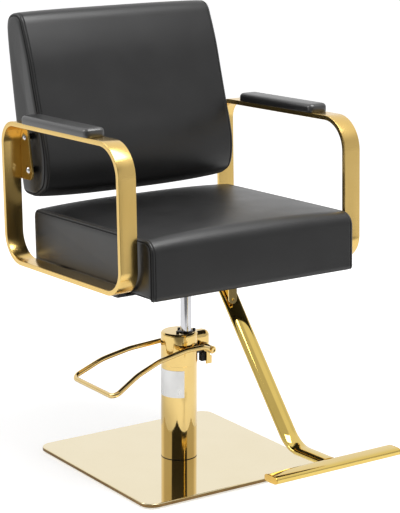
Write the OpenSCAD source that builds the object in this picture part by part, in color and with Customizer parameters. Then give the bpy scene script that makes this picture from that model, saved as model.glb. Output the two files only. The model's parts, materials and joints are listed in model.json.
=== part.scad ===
// Hydraulic hairdressing chair: a padded seat between two flat bar loops, on a foot-pumped column.
// Millimetres. Origin on the floor under the base plate's centre, +Z up, the chair faces -Y.
// Pieces of the seat are drawn in the seat's own frame, whose origin is where the ram's axis
// meets the underside of the seat, with y to the rear and z up, and which leans back a little.

/* [Base plate] */
// Side of the square base plate
base_side = 450; // [420:5:520]
// Thickness of the base plate
base_t = 8; // [6:0.5:12]
// Radius of the base plate's corners in plan
base_corner_r = 28; // [10:2:60]
// Radius rolled on the base plate's upper edge
base_edge_r = 2; // [1:0.5:4]
// Diameter of the rubber foot pads
foot_d = 40; // [30:2:50]
// Thickness of the rubber foot pads
foot_t = 4; // [3:0.5:6]
// Distance from the plate's edge to the middle of a corner pad
foot_inset = 35; // [30:1:60]
// Radius of the circle of bolts under the column
foot_bolt_circle_r = 28; // [26:0.5:30]
// Shank diameter of the column's countersunk bolts
foot_bolt_d = 10; // [6:1:10]

/* [Column] */
// Outer radius of the column casing
column_r = 39; // [38:0.5:44]
// Wall of the column casing
column_wall = 2.5; // [2:0.25:3]
// Height of the column casing above the base plate
column_h = 210; // [200:1:215]
// Thickness of the tapped disc inside the casing's foot
column_foot_t = 12; // [10:1:15]
// Height of the blank label plate
label_h = 60; // [30:1:80]
// Thickness of the label plate
label_t = 0.4; // [0.2:0.1:1]
// Angle that the label plate covers round the column
label_sweep = 107.6; // [60:0.2:150]
// Angle of the label plate's first edge, from +X
label_start = 146; // [90:1:200]

/* [Ram] */
// Offset of the ram's axis from the column's axis along X
ram_x = 8; // [6:0.5:9]
// Offset of the ram's axis from the column's axis along Y
ram_y = -14; // [-15:0.5:-12]
// Radius of the chromed rod
rod_r = 12; // [10:0.25:12.5]
// Radial step from the rod to the cylinder's bore
rod_to_bore = 2; // [1.5:0.25:2.5]
// Wall of the ram cylinder
ram_wall = 2.5; // [2:0.25:2.75]
// Length of the piston
piston_l = 25; // [20:1:30]
// Height of the piston's lower face above the floor at mid stroke
piston_z = 125; // [120:1:130]
// Length of the plug in the cylinder's foot
plug_l = 12; // [8:1:15]
// Height of the rod's top above the floor at mid stroke
rod_top_z = 428; // [422:1:430]

/* [Pump head] */
// Height of the head above the casing
head_h = 66; // [64:1:70]
// Wall of the polished head cover
cover_wall = 2; // [1.5:0.25:2.5]
// Radius rolled on the cover's upper edge
cover_edge_r = 6; // [3:0.5:8]
// Radius of the cover's lobe over the pedal shaft
lobe_r = 17.5; // [17:0.5:19]
// Distance of the lobe's centre from the column's axis
lobe_x = 57; // [56:0.5:60]
// Radius rolled on the lobe's upper edge
lobe_edge_r = 13; // [4:0.5:13]
// Height of the lobe
lobe_h = 30; // [28:1:34]
// Outer radius of the gland nut
gland_r = 15.5; // [15:0.25:16]
// How far the gland nut stands out of the cover
gland_proud = 2.5; // [2:0.5:8]
// Radius of the pump plunger
plunger_r = 5; // [4:0.25:5.5]
// Wall of the pump barrel
barrel_wall = 2.4; // [2:0.1:2.6]
// Length of the pump barrel
barrel_l = 100; // [96:1:110]
// Length of the pump plunger
plunger_l = 92; // [80:1:92]

/* [Pedal] */
// Diameter of the pedal's bent rod
pedal_rod_d = 11; // [9:0.5:12]
// Distance of the pedal's shaft from the column's axis
shaft_x = 54; // [53:0.5:55]
// Height of the pedal's shaft above the floor
shaft_z = 253; // [252:0.5:254]
// Radius of the pedal's shaft
shaft_r = 5; // [4:0.25:6]
// Half the distance between the pedal's arms at the shaft
arm_half = 44; // [43:0.5:50]
// Half the width of the pedal at its foot end
toe_half = 84; // [65:1:90]
// Distance from the shaft to the pedal's foot end
pedal_l = 270; // [240:1:280]
// Drop from the shaft to the pedal's foot end
pedal_drop = 50; // [30:1:55]
// Wire diameter of the pedal's return spring
spring_wire_d = 2; // [1:0.1:2]

/* [Seat] */
// Height of the seat's underside above the floor at the ram
seat_z = 444.8; // [440:0.2:450]
// Angle at which the seat leans back
seat_tilt = 2; // [0:0.25:4]
// Width of the seat cushion
seat_w = 502; // [460:2:520]
// Distance from the ram's axis to the seat's front
seat_front = 256; // [240:1:262]
// Distance from the ram's axis to the seat's rear
seat_rear = 208; // [180:1:214]
// Height of the seat's side seam above its underside
seat_h = 116; // [90:1:118]
// Rise of the seat's middle above its side seams
seat_crown = 14; // [2:0.5:16]
// Radius over which the seat's top turns into its front
seat_front_r = 27; // [20:1:35]
// How far the seat's side panels are drawn in
seat_draw = 2.5; // [1:0.5:5]
// How far the cover hangs below the board along the front
seat_lip = 4; // [0:0.5:5]
// Thickness of the plywood seat board
seat_board_t = 15; // [12:0.5:18]
// Width of foam between the boards' edges and the covers' sides
board_margin = 13; // [10:0.5:16]

/* [Backrest] */
// How much narrower the back cushion is than the seat
back_step = 16; // [12:1:56]
// Height of the back cushion
back_h = 386; // [360:1:450]
// Height of the back cushion's lower edge above the seat's underside
back_z = 140; // [138:1:150]
// Distance from the ram's axis to the front of the lumbar bulge
back_y = 163; // [160:1:168]
// Reach of the back cushion from the lumbar bulge to its rear
back_depth = 151; // [145:1:160]
// Swell of the back cushion's middle beyond its side seams
back_swell = 5; // [1:0.5:8]
// Swell of the back cushion's lower edge at its middle
back_low_swell = 8; // [0:0.5:8]
// Thickness of the plywood back board
back_board_t = 18; // [12:1:20]

/* [Arm loops] */
// Width of the flat bar, across the chair
bar_w = 40; // [30:1:45]
// Thickness of the flat bar
bar_t = 10; // [8:0.5:12]
// Gap between the seat's side and the arm loop
loop_gap = 6; // [5:0.5:14]
// Distance from the ram's axis to the loop's front
loop_front = 218; // [205:1:235]
// Distance from the ram's axis to the loop's rear
loop_rear = 252; // [245:1:262]
// Height of the loop's lower face above the seat's underside
loop_z = 2; // [2:0.5:6]
// Height of the loop
loop_h = 306; // [290:1:330]
// Outer radius of the loop's lower front corner
loop_r_front_low = 55; // [35:1:75]
// Outer radius of the loop's lower rear corner
loop_r_rear_low = 65; // [35:1:75]
// Outer radius of the loop's upper rear corner
loop_r_rear_top = 50; // [35:1:65]
// Outer radius of the loop's upper front corner
loop_r_front_top = 70; // [35:1:90]
// Length of an arm pad
pad_l = 266; // [235:1:285]
// Width of an arm pad
pad_w = 48; // [42:1:52]
// Thickness of an arm pad
pad_t = 18; // [14:0.5:24]
// Radius of an arm pad's corners in plan
pad_corner_r = 12; // [8:1:20]
// Radius rolled on an arm pad's upper edge
pad_edge_r = 7; // [4:0.5:8]

/* [Footrest] */
// Width of the footrest's flat oval tube
oval_w = 40; // [36:1:46]
// Thickness of the footrest's flat oval tube
oval_t = 15; // [12:0.5:18]
// Wall of the footrest's flat oval tube
oval_wall = 2; // [1.5:0.25:2.5]
// Distance from the ram's axis back to where the stem meets the seat's underside
stem_y = 125.6; // [120:0.2:128]
// Distance from the ram's axis to the stem's lower bend
stem_foot_y = 379; // [360:1:390]
// Drop from the seat's underside to the footrest bar's middle
bar_drop = 314; // [280:1:330]
// Distance from the ram's axis to the middle of the footrest bar
rest_y = 508; // [480:1:520]
// Length of the footrest bar over its end caps
rest_l = 306; // [260:2:340]
// Radius of the stem's lower bend
stem_bend_r = 70; // [40:1:90]
// Thickness of the footrest's end caps
cap_t = 3; // [2:0.5:5]

/* [Hidden] */
$fn = 48;

// Shared clearances
running_fit = 0.05;
loose_fit = 0.3;
cut_over = 1;

// Base plate and column
plate_top = foot_t + base_t;
casing_top = plate_top + column_h;
casing_bore_r = column_r - column_wall;
centre_pad_d = foot_d * 0.8;
csk_h = foot_bolt_d / 2;
foot_bolt_short = 2;
foot_bolt_l = base_t + column_foot_t - foot_bolt_short;
label_top_gap = 9;
label_z = casing_top - label_top_gap - label_h;

// Ram
ram_bore_r = rod_r + rod_to_bore;
ram_r = ram_bore_r + ram_wall;
ram_bottom = plate_top + column_foot_t;
head_top = casing_top + head_h;
gland_depth = 26;
ram_top = head_top - gland_depth;
seal_w = 2.4;
seal_depth = 1.75;
rod_spigot_r = rod_r / 2;
clip_w = 2;
clip_rim = 3;
rod_tail = 2 * clip_w;
clip_groove = 1;

// Pump head
cover_gap = 0.8;
cover_r = column_r + cover_gap;
cover_lift = 3;
cover_top = head_top + cover_wall + cover_lift;
head_r = cover_r - cover_wall - cover_gap;
spigot_h = 12;
spigot_r = casing_bore_r - 2 * running_fit;
barrel_r = plunger_r + running_fit + barrel_wall;
barrel_gap = 0.4;
pump_x = ram_x + sqrt(pow(ram_r + barrel_r + barrel_gap, 2) - pow(ram_y, 2));
block_drop = 13;
block_bottom = shaft_z - block_drop;
block_step = 14;
block_top = head_top - block_step;
block_gap = 0.5;
block_half = lobe_r - cover_wall - block_gap;
slot_half = 6;
slot_gap = 2;
slot_reach = 10;
slot_roof = 5;
barrel_floor = 6;
port_r = 1.5;
cover_lip_z = casing_top;
lobe_bottom = cover_top - cover_edge_r - lobe_h;
cover_screw_d = 4;
cover_screw_head_r = 3.5;
cover_screw_head_h = 4;
cover_screw_step = 5.5;
cover_screw_circle_r = gland_r + cover_screw_step;
cover_screw_hold = 9;
cover_screw_l = cover_top - head_top + cover_screw_hold;
cover_screw_angles = [0, 100, 180];
gland_bore_r = rod_r + running_fit;
wiper_w = 5;
wiper_depth = 1.5;
wiper_cap = 1;
wiper_z = cover_top + gland_proud - wiper_cap - wiper_w / 2;
pipe_r = 2.5;
pipe_rise = 6;
pipe_z = ram_bottom + pipe_rise;

// Pedal
cam_half = 4.5;
nose_r = 6;
nose_lift = 5;
cam_arm_half = 4.5;
nose_offset = 0.5;
nose_x = pump_x + nose_offset;
nose_z = shaft_z + nose_lift;
plunger_top = nose_z - nose_r - 2 * running_fit;
bush_wall = 2.5;
bush_r = shaft_r + bush_wall;
bush_rim_step = 1;
bush_rim_r = bush_r + bush_rim_step;
bush_rim_t = 2;
eye_wall = 3.5;
eye_r = shaft_r + eye_wall;
eye_proud = 0.5;
eye_half = pedal_rod_d / 2 + eye_proud;
shaft_half = arm_half + eye_half;
screw_head_step = 1;
screw_head_r = shaft_r + screw_head_step;
screw_head_h = 3.5;
hex_socket_r = 3.4;
hex_socket_depth = 2;
pedal_rod_r = pedal_rod_d / 2;
toe_bend_r = 15;
pedal_sides = 16;
// Places along an arm of the pedal: share of its reach, rise as a share of its drop, and share
// of the way from its width at the shaft to its width at the foot end
pedal_arm_shares = [
  [0, 0, 0], [0.09, 0.18, 0.08], [0.255, 0.175, 0.1], [0.528, 0, 0.38],
  [0.757, -0.34, 0.69], [1, -1, 1]
];
pedal_bends = [0, 22, 90, 90, 110, toe_bend_r];
tab_gap = 6;
tab_y = block_half + bush_rim_t + tab_gap;
tab_t = 4;
tab_rim = 0.5;
tab_r = eye_r + tab_rim;
lip_reach = 9.3;
lip_x = shaft_x + lip_reach;
lip_t = 4;
lip_drop = 20;
lip_h = 17;
lip_top = shaft_z - lip_drop;
lip_bottom = lip_top - lip_h;
lip_end_y = 8;
buffer_back = 8;
buffer_x = shaft_x - buffer_back;
buffer_gap = 0.3;
buffer_proud = 5;
buffer_y0 = block_half + buffer_proud;
buffer_y1 = lip_end_y;
buffer_h = 19;
spring_gap = 0.5;
spring_slack = 0.4;
spring_r = shaft_r + spring_slack + spring_wire_d / 2;
spring_pitch = spring_wire_d + spring_gap;
spring_sides = 6;
spring_steps = 8;
spring_y = tab_y + tab_t + spring_gap + spring_wire_d / 2;
spring_turns = floor((arm_half - eye_half - spring_y - spring_wire_d) / spring_pitch);

// Seat
hub_r = 23;
hub_grip = 18;
hub_bottom = rod_top_z - hub_grip;
cover_cloth_t = 1;
mount_t = 4;
mount_side = 130;
mount_hole_pitch = 100;
m8_r = 4;
m8_head_r = 7.5;
m8_head_h = 5.5;
tee_r = 5;
tee_rim_r = 11;
tee_rim_t = 1.6;
seat_bottom_r = 6;
seat_top_rear_r = 16;
seat_bulge = 3;
board_rear_gap = 14;
board_corner_r = 30;
ring_shares = [-1, -0.985, -0.95, -0.88, -0.78, -0.66, -0.53, -0.4, -0.27, -0.135, 0];
ring_places = concat(ring_shares, [for (i = [len(ring_shares) - 2:-1:0]) -ring_shares[i]]);
panel_share = 0.55;

// Arm loops
loop_x = seat_w / 2 + loop_gap;
loop_mid_x = loop_x + bar_w / 2;
loop_top = loop_z + loop_h;
bar_edge_r = 1;
lug_half = 20;
lug_t = 4;
lug_in = 62;
lug_l = 19;
lug_bolt_in = 9;
lug_head_r = 6.5;
lug_head_h = 2.5;
lug_front_inset = 68;
lug_rear_inset = 142;
lug_places = [lug_front_inset - loop_front, loop_rear - lug_rear_inset];
lug_bolt_d = 8;
lug_bolt_hold = 6;
pad_gap = 0.3;
pad_back = 10.5;
pad_mid_y = (loop_rear - loop_front) / 2 + pad_back;
pad_screw_d = 5;
pad_screw_pitch = 160;
pad_screw_hold = 10;

// Back
bracket_t = 5;
bracket_top = back_z + back_h * 0.378;
bracket_nose_r = 15;
bracket_lap = 3;
bracket_nose_back = 42;
bracket_nose_up = 53;
bracket_low = [loop_rear - bracket_nose_back, back_z + bracket_nose_up];
bracket_top_back = 41;
bracket_high_y = loop_rear - bracket_top_back;
back_screw_d = 8;
back_screw_head_r = 8;
back_screw_head_h = 4.5;
high_screw_back = 27;
high_screw_up = 129;
low_screw_back = 40;
low_screw_up = 59;
back_screw_places = [[loop_rear - high_screw_back, back_z + high_screw_up],
  [loop_rear - low_screw_back, back_z + low_screw_up]];
back_screw_hold = 16;
spacer_r = 6.5;
insert_wall = 1.5;
back_w = seat_w - back_step;
back_lean_share = 0.4711;
back_lean = atan(back_lean_share * back_depth / back_h);
back_board_low = 30;
back_board_high = 27;
back_board_y = back_y + back_depth * 0.3444;
mouth_t = 14;
mouth_shift = 12;
// Side view of the back cushion: share of its depth to the rear, share of its height
back_shares = [
  [0.200, 0.022], [0.075, 0.058], [0.012, 0.125], [0, 0.215], [0.050, 0.315], [0.150, 0.445],
  [0.268, 0.608], [0.384, 0.773], [0.520, 0.915], [0.600, 0.978], [0.709, 1], [0.850, 0.996],
  [0.950, 0.975], [1, 0.925], [0.985, 0.820], [0.925, 0.640], [0.850, 0.440], [0.765, 0.240],
  [0.700, 0.060], [0.640, 0.010], [0.477, 0], [0.325, 0.002]
];
back_spine_share = 0.42;
back_spine_lean_share = 0.36;

// Footrest
bracket_plate_t = 5;
bracket_plate_half = 35;
bracket_plate_fore = 74.4;
bracket_plate_aft = 55.6;
bracket_plate_front = stem_y + bracket_plate_fore;
bracket_plate_rear = stem_y - bracket_plate_aft;
strip_half = 10;
strip_x = -12;
strip_y = bracket_plate_front - strip_half;
strip_t = 3;
strip_l = 52;
strip_hole_r = 3;
cheek_t = 3;
cheek_h = 20;
cap_plug_l = 10;
weld_land = 2;
bend_swell = 0.1;
bend_lap = 2;
bracket_screw_d = 5;
bracket_screw_l = 12;
bracket_screw_inset = 6.5;

// Colours
gold = [0.90, 0.72, 0.32];
steel = [0.62, 0.63, 0.65];
chrome_grey = [0.80, 0.81, 0.83];
dark_steel = [0.16, 0.16, 0.17];
black_rubber = [0.08, 0.08, 0.08];
black_leather = [0.13, 0.13, 0.14];
plywood = [0.72, 0.56, 0.38];
label_silver = [0.86, 0.86, 0.85];
bronze = [0.70, 0.52, 0.28];

// Small tools of geometry

function unit(v) = v / norm(v);
function mix(a, b, t) = a + (b - a) * t;
function turn_angle(a, b) = acos(max(-1, min(1, unit(a) * unit(b))));
function turn_at(pts, i) = turn_angle(pts[i] - pts[i - 1], pts[i + 1] - pts[i]);
function arc(cy, cz, r, from, to, n) =
  [for (i = [0:n]) let (a = mix(from, to, i / n)) [cy + r * cos(a), cz + r * sin(a)]];

// Point between p1 and p2 on a smooth curve that also heeds its neighbours p0 and p3
function curve_point(p0, p1, p2, p3, t) =
  (2 * p1 + (p2 - p0) * t + (2 * p0 - 5 * p1 + 4 * p2 - p3) * t * t
    + (3 * p1 - p0 - 3 * p2 + p3) * t * t * t) / 2;
function closed_curve(pts, steps) = let (n = len(pts))
  [for (i = [0:n - 1], k = [0:steps - 1])
    curve_point(pts[(i + n - 1) % n], pts[i], pts[(i + 1) % n], pts[(i + 2) % n], k / steps)];
function middle(ring) = [for (axis = [0:2]) min([for (p = ring) p[axis]]) / 2
  + max([for (p = ring) p[axis]]) / 2];

module tube(r, bore, h) {
  difference() {
    cylinder(h=h, r=r);
    translate([0, 0, -cut_over]) cylinder(h=h + 2 * cut_over, r=bore);
  }
}

// Half section of a plate's rim: its upper edge rolled to radius e
module rim_profile(reach, h, e) {
  square([reach - e, h]);
  square([reach, h - e]);
  translate([reach - e, h - e]) intersection() {
    circle(e);
    square(e);
  }
}

// Plate w by d by h with plan corners of radius r and its upper edge rolled to radius e
module rolled_plate(w, d, h, r, e) {
  translate([-(w / 2 - r), -(d / 2 - r), 0]) cube([w - 2 * r, d - 2 * r, h]);
  for (sx = [-1, 1], sy = [-1, 1])
    translate([sx * (w / 2 - r), sy * (d / 2 - r), 0]) rotate_extrude() rim_profile(r, h, e);
  for (s = [0, 1]) mirror([0, s, 0])
    translate([-(w / 2 - r), d / 2 - r, 0]) rotate([90, 0, 90])
      linear_extrude(w - 2 * r) rim_profile(r, h, e);
  for (s = [0, 1]) mirror([s, 0, 0])
    translate([w / 2 - r, d / 2 - r, 0]) rotate([90, 0, 0])
      linear_extrude(d - 2 * r) rim_profile(r, h, e);
}

// Flat plate with round plan corners
module round_plate(w, d, h, r) {
  translate([-w / 2, -d / 2 + r, 0]) cube([w, d - 2 * r, h]);
  translate([-w / 2 + r, -d / 2, 0]) cube([w - 2 * r, d, h]);
  for (sx = [-1, 1], sy = [-1, 1])
    translate([sx * (w / 2 - r), sy * (d / 2 - r), 0]) cylinder(h=h, r=r);
}

// Places its children so that their z axis runs from a along d
module aim(a, d) {
  translate(a) rotate([0, acos(d.z / norm(d)), atan2(d.y, d.x)]) children();
}

// Points of a path through pts whose inner corners are arcs of the given radii
function rounded_path(pts, bends, steps) = let (last = len(pts) - 1) [
  pts[0],
  for (i = [1:last - 1]) let (
      from = unit(pts[i] - pts[i - 1]),
      to = unit(pts[i + 1] - pts[i]),
      turn = turn_at(pts, i),
      inward = unit(to - from * (from * to)),
      start = pts[i] - from * bends[i] * tan(turn / 2),
      count = max(2, ceil(steps * turn / 90)))
    each [for (k = [0:count]) let (a = turn * k / count)
      start + bends[i] * (inward * (1 - cos(a)) + from * sin(a))],
  pts[last]
];

// Ring of points about path point i, square to the path
function path_ring(path, i, r, sides) = let (
    last = len(path) - 1,
    along = unit(path[min(last, i + 1)] - path[max(0, i - 1)]),
    side = unit(cross(along, abs(along.z) > 0.9 ? [1, 0, 0] : [0, 0, 1])),
    up = cross(along, side))
  [for (k = [0:sides - 1]) let (a = 360 * k / sides) path[i] + r * (cos(a) * side + sin(a) * up)];

// Closed form through rings of points, one ring after the other along X
module lofted_form(rings) {
  n = len(rings[0]);
  m = len(rings);
  points = concat([for (ring = rings) each ring], [middle(rings[0]), middle(rings[m - 1])]);
  sides = [for (k = [0:m - 2], i = [0:n - 1]) let (j = (i + 1) % n)
    each [[k * n + i, (k + 1) * n + j, k * n + j], [k * n + i, (k + 1) * n + i, (k + 1) * n + j]]];
  ends = [for (i = [0:n - 1]) let (j = (i + 1) % n)
    each [[i, j, m * n], [(m - 1) * n + j, (m - 1) * n + i, m * n + 1]]];
  polyhedron(points=points, faces=concat(sides, ends));
}

module oval_profile(w, t) {
  square([t, w - t], center=true);
  for (s = [-1, 1]) translate([0, s * (w - t) / 2]) circle(t / 2);
}

module seat_frame() {
  translate([ram_x, ram_y, seat_z]) rotate([-seat_tilt, 0, 0]) children();
}

module at_ram(z) {
  translate([ram_x, ram_y, z]) children();
}

// Base plate and column

module at_foot_bolts() {
  for (a = [45:90:315]) rotate([0, 0, a]) translate([foot_bolt_circle_r, 0, 0]) children();
}

module countersunk_bolt(d, l, spare) {
  cylinder(h=l + spare, r=d / 2 + spare);
  cylinder(h=csk_h, r1=d + spare, r2=d / 2 + spare);
}

module base_plate() {
  color(gold) difference() {
    translate([0, 0, foot_t])
      rolled_plate(base_side, base_side, base_t, base_corner_r, base_edge_r);
    translate([0, 0, foot_t]) at_foot_bolts() countersunk_bolt(foot_bolt_d, 2 * base_t, running_fit);
  }
}

module base_feet() {
  reach = base_side / 2 - foot_inset;
  color(black_rubber) {
    for (sx = [-1, 1], sy = [-1, 1])
      translate([sx * reach, sy * reach, 0]) cylinder(h=foot_t, r=foot_d / 2);
    cylinder(h=foot_t, r=centre_pad_d / 2);
  }
}

module column_casing() {
  color(gold) translate([0, 0, plate_top]) tube(column_r, casing_bore_r, column_h);
}

module column_foot() {
  color(steel) difference() {
    translate([0, 0, plate_top]) cylinder(h=column_foot_t, r=casing_bore_r - 2 * running_fit);
    translate([0, 0, foot_t]) at_foot_bolts()
      cylinder(h=foot_bolt_l + running_fit, r=foot_bolt_d / 2 + running_fit);
  }
}

module column_bolts() {
  color(steel) translate([0, 0, foot_t]) at_foot_bolts() countersunk_bolt(foot_bolt_d, foot_bolt_l, 0);
}

module column_label() {
  color(label_silver) translate([0, 0, label_z]) rotate([0, 0, label_start])
    rotate_extrude(angle=label_sweep) translate([column_r + running_fit, 0]) square([label_t, label_h]);
}

// Ram

module ram_cylinder() {
  color(steel) difference() {
    at_ram(ram_bottom) tube(ram_r, ram_bore_r, ram_top - ram_bottom);
    translate([0, 0, pipe_z]) oil_way(pipe_r);
  }
}

module cylinder_plug() {
  color(dark_steel) difference() {
    at_ram(ram_bottom) cylinder(h=plug_l, r=ram_bore_r - running_fit);
    translate([0, 0, pipe_z]) oil_way(port_r);
    at_ram(pipe_z - 2 * port_r) cylinder(h=plug_l, r=2 * port_r);
  }
}

// Level way from the pump's axis to the ram's axis
module oil_way(r) {
  aim([pump_x, 0, 0], [ram_x - pump_x, ram_y, 0]) cylinder(h=norm([ram_x - pump_x, ram_y]), r=r);
}

module oil_pipe() {
  pipe_top = barrel_bottom();
  color(bronze) difference() {
    union() {
      translate([pump_x, 0, pipe_z]) cylinder(h=pipe_top - pipe_z, r=pipe_r);
      translate([pump_x, 0, pipe_z]) sphere(pipe_r);
      translate([0, 0, pipe_z]) oil_way(pipe_r);
    }
    at_ram(pipe_z - 2 * pipe_r) cylinder(h=4 * pipe_r, r=ram_r);
    translate([pump_x, 0, pipe_z]) cylinder(h=pipe_top, r=port_r);
    translate([0, 0, pipe_z]) oil_way(port_r);
  }
}

module ram_piston() {
  color(steel) at_ram(piston_z) difference() {
    cylinder(h=piston_l, r=ram_bore_r - running_fit);
    translate([0, 0, -cut_over]) cylinder(h=piston_l + 2 * cut_over, r=rod_spigot_r + running_fit);
    at_seals() tube(ram_bore_r + cut_over, ram_bore_r - seal_depth, seal_w);
  }
}

module at_seals() {
  for (share = [0.25, 0.65]) translate([0, 0, piston_l * share]) children();
}

module piston_seals() {
  color(black_rubber) at_ram(piston_z) at_seals()
    tube(ram_bore_r - running_fit, ram_bore_r - seal_depth, seal_w);
}

module ram_rod() {
  rod_bottom = piston_z + piston_l + running_fit;
  color(chrome_grey) difference() {
    union() {
      at_ram(rod_bottom) cylinder(h=rod_top_z - rod_bottom, r=rod_r);
      at_ram(piston_z - rod_tail) cylinder(h=rod_bottom - piston_z + rod_tail, r=rod_spigot_r);
    }
    at_ram(piston_z - clip_w - running_fit) tube(rod_r, rod_spigot_r - clip_groove, clip_w);
  }
}

module rod_circlip() {
  color(dark_steel) at_ram(piston_z - clip_w - running_fit)
    tube(rod_spigot_r + clip_rim, rod_spigot_r - clip_groove, clip_w);
}

// Pump head

module head_casting() {
  color(dark_steel) difference() {
    union() {
      translate([0, 0, casing_top]) cylinder(h=head_h, r=head_r);
      translate([0, 0, casing_top - spigot_h]) cylinder(h=spigot_h + cut_over, r=spigot_r);
      translate([0, -block_half, block_bottom])
        cube([lobe_x, 2 * block_half, block_top - block_bottom]);
      translate([lobe_x, 0, block_bottom]) cylinder(h=block_top - block_bottom, r=block_half);
    }
    at_ram(casing_top - spigot_h - cut_over)
      cylinder(h=ram_top - casing_top + spigot_h + cut_over, r=ram_r + running_fit);
    at_ram(ram_top - cut_over)
      cylinder(h=head_top - ram_top + 2 * cut_over, r=gland_r + running_fit);
    translate([pump_x, 0, casing_top - spigot_h - cut_over])
      cylinder(h=block_bottom - casing_top + spigot_h + cut_over, r=barrel_r + running_fit);
    translate([pump_x - nose_r - slot_gap, -slot_half, block_bottom])
      cube([shaft_x + slot_reach - pump_x + nose_r + slot_gap, 2 * slot_half,
        block_top - block_bottom - slot_roof]);
    on_shaft(-block_half - cut_over) cylinder(h=2 * (block_half + cut_over), r=bush_r + running_fit);
    at_cover_screws() translate([0, 0, -cover_screw_l - running_fit])
      cylinder(h=cover_screw_l + cut_over, r=cover_screw_d / 2 + running_fit);
  }
}

module at_cover_screws() {
  at_ram(cover_top) for (a = cover_screw_angles)
    rotate([0, 0, a]) translate([cover_screw_circle_r, 0, 0]) children();
}

module cover_screws() {
  color(dark_steel) at_cover_screws() {
    translate([0, 0, -cover_screw_l]) cylinder(h=cover_screw_l, r=cover_screw_d / 2);
    difference() {
      cylinder(h=cover_screw_head_h, r=cover_screw_head_r);
      translate([0, 0, cover_screw_head_h / 2])
        cylinder(h=cover_screw_head_h, r=cover_screw_d / 2, $fn=6);
    }
  }
}

// Outer form of the cover, grown inwards by t
module cover_form(t) {
  top = cover_top - t;
  translate([0, 0, cover_lip_z]) rotate_extrude()
    rim_profile(cover_r - t, top - cover_lip_z, cover_edge_r - t);
  translate([0, 0, lobe_bottom]) {
    translate([lobe_x, 0, 0]) rotate_extrude() rim_profile(lobe_r - t, lobe_h - t, lobe_edge_r - t);
    translate([0, -(lobe_r - t), 0]) rotate([90, 0, 90]) linear_extrude(lobe_x) {
      translate([lobe_edge_r - t, 0]) square([2 * (lobe_r - lobe_edge_r), lobe_h - t]);
      square([2 * (lobe_r - t), lobe_h - lobe_edge_r]);
      for (y = [lobe_edge_r - t, 2 * lobe_r - lobe_edge_r - t])
        translate([y, lobe_h - lobe_edge_r]) circle(lobe_edge_r - t);
    }
  }
}

module head_cover() {
  color(gold) difference() {
    cover_form(0);
    cover_form(cover_wall);
    translate([0, 0, cover_lip_z - cut_over]) cylinder(h=2 * cut_over, r=cover_r - cover_wall);
    translate([0, -(lobe_r - cover_wall), lobe_bottom - cut_over])
      cube([lobe_x, 2 * (lobe_r - cover_wall), 2 * cut_over]);
    translate([lobe_x, 0, lobe_bottom - cut_over])
      cylinder(h=2 * cut_over, r=lobe_r - cover_wall);
    translate([0, -block_half - cover_gap, cover_lip_z - cut_over])
      cube([column_r + 2 * cover_wall, 2 * (block_half + cover_gap),
        lobe_bottom - cover_lip_z + 2 * cut_over]);
    on_shaft(-lobe_r - cut_over) cylinder(h=2 * (lobe_r + cut_over), r=bush_rim_r + bush_rim_step);
    at_ram(head_top) cylinder(h=cover_top - head_top + cut_over, r=gland_r + loose_fit);
    at_cover_screws() translate([0, 0, -2 * cover_wall])
      cylinder(h=3 * cover_wall, r=cover_screw_d / 2 + running_fit);
  }
}

module gland_nut() {
  color(dark_steel) at_ram(ram_top) difference() {
    cylinder(h=cover_top - ram_top + gland_proud, r=gland_r);
    translate([0, 0, -cut_over]) cylinder(h=cover_top, r=gland_bore_r);
    translate([0, 0, wiper_z - ram_top - wiper_w / 2])
      cylinder(h=wiper_w, r=gland_bore_r + wiper_depth);
  }
}

module gland_seal() {
  color(black_rubber) at_ram(wiper_z - wiper_w / 2)
    tube(gland_bore_r + wiper_depth, gland_bore_r, wiper_w);
}

function barrel_bottom() = block_bottom - barrel_l;

module pump_barrel() {
  color(steel) translate([pump_x, 0, barrel_bottom()]) difference() {
    cylinder(h=barrel_l, r=barrel_r);
    translate([0, 0, barrel_floor]) cylinder(h=barrel_l, r=plunger_r + running_fit);
    translate([0, 0, -cut_over]) cylinder(h=barrel_l, r=port_r);
  }
}

module pump_plunger() {
  color(chrome_grey) translate([pump_x, 0, plunger_top - plunger_l]) cylinder(h=plunger_l, r=plunger_r);
}

// Places its children with their z axis along the shaft, starting at y
module on_shaft(y) {
  translate([shaft_x, y, shaft_z]) rotate([-90, 0, 0]) children();
}

module pedal_bushes() {
  color(bronze) for (s = [0, 1]) mirror([0, s, 0]) difference() {
    union() {
      on_shaft(slot_half) cylinder(h=block_half - slot_half, r=bush_r);
      on_shaft(block_half) cylinder(h=bush_rim_t, r=bush_rim_r);
    }
    on_shaft(slot_half - cut_over) cylinder(h=block_half, r=shaft_r + running_fit);
  }
}

module stop_buffer() {
  color(black_rubber) translate([buffer_x, -buffer_y0, block_bottom - buffer_h])
    cube([lip_x - buffer_gap - buffer_x, buffer_y0 - buffer_y1, buffer_h]);
}

// Rings of points round the spring's wire: one straight leg that braces against the cover,
// the turns, and a short straight end
spring_count = spring_turns * spring_steps;
leg_reach = shaft_x - sqrt(pow(cover_r, 2) - pow(spring_y - spring_wire_d / 2, 2)) - loose_fit;
function wire_ring(centre, radial) = [for (k = [0:spring_sides - 1])
  let (a = k * 360 / spring_sides)
  centre + spring_wire_d / 2 * (cos(a) * [0, 1, 0] + sin(a) * radial)];
function coil_radial(i) = let (a = 90 - 360 * i / spring_steps) [cos(a), 0, sin(a)];
function coil_centre(i) = [shaft_x, -spring_y - spring_pitch * i / spring_steps, shaft_z]
  + spring_r * coil_radial(i);
spring_end_along = [coil_radial(spring_count).z, 0, -coil_radial(spring_count).x];
spring_rings = concat(
  [for (t = [1, 0.5]) wire_ring(coil_centre(0) - [leg_reach * t, 0, 0], coil_radial(0))],
  [for (i = [0:spring_count]) wire_ring(coil_centre(i), coil_radial(i))],
  [wire_ring(coil_centre(spring_count) + spring_wire_d * spring_end_along, coil_radial(spring_count))]
);
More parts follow.
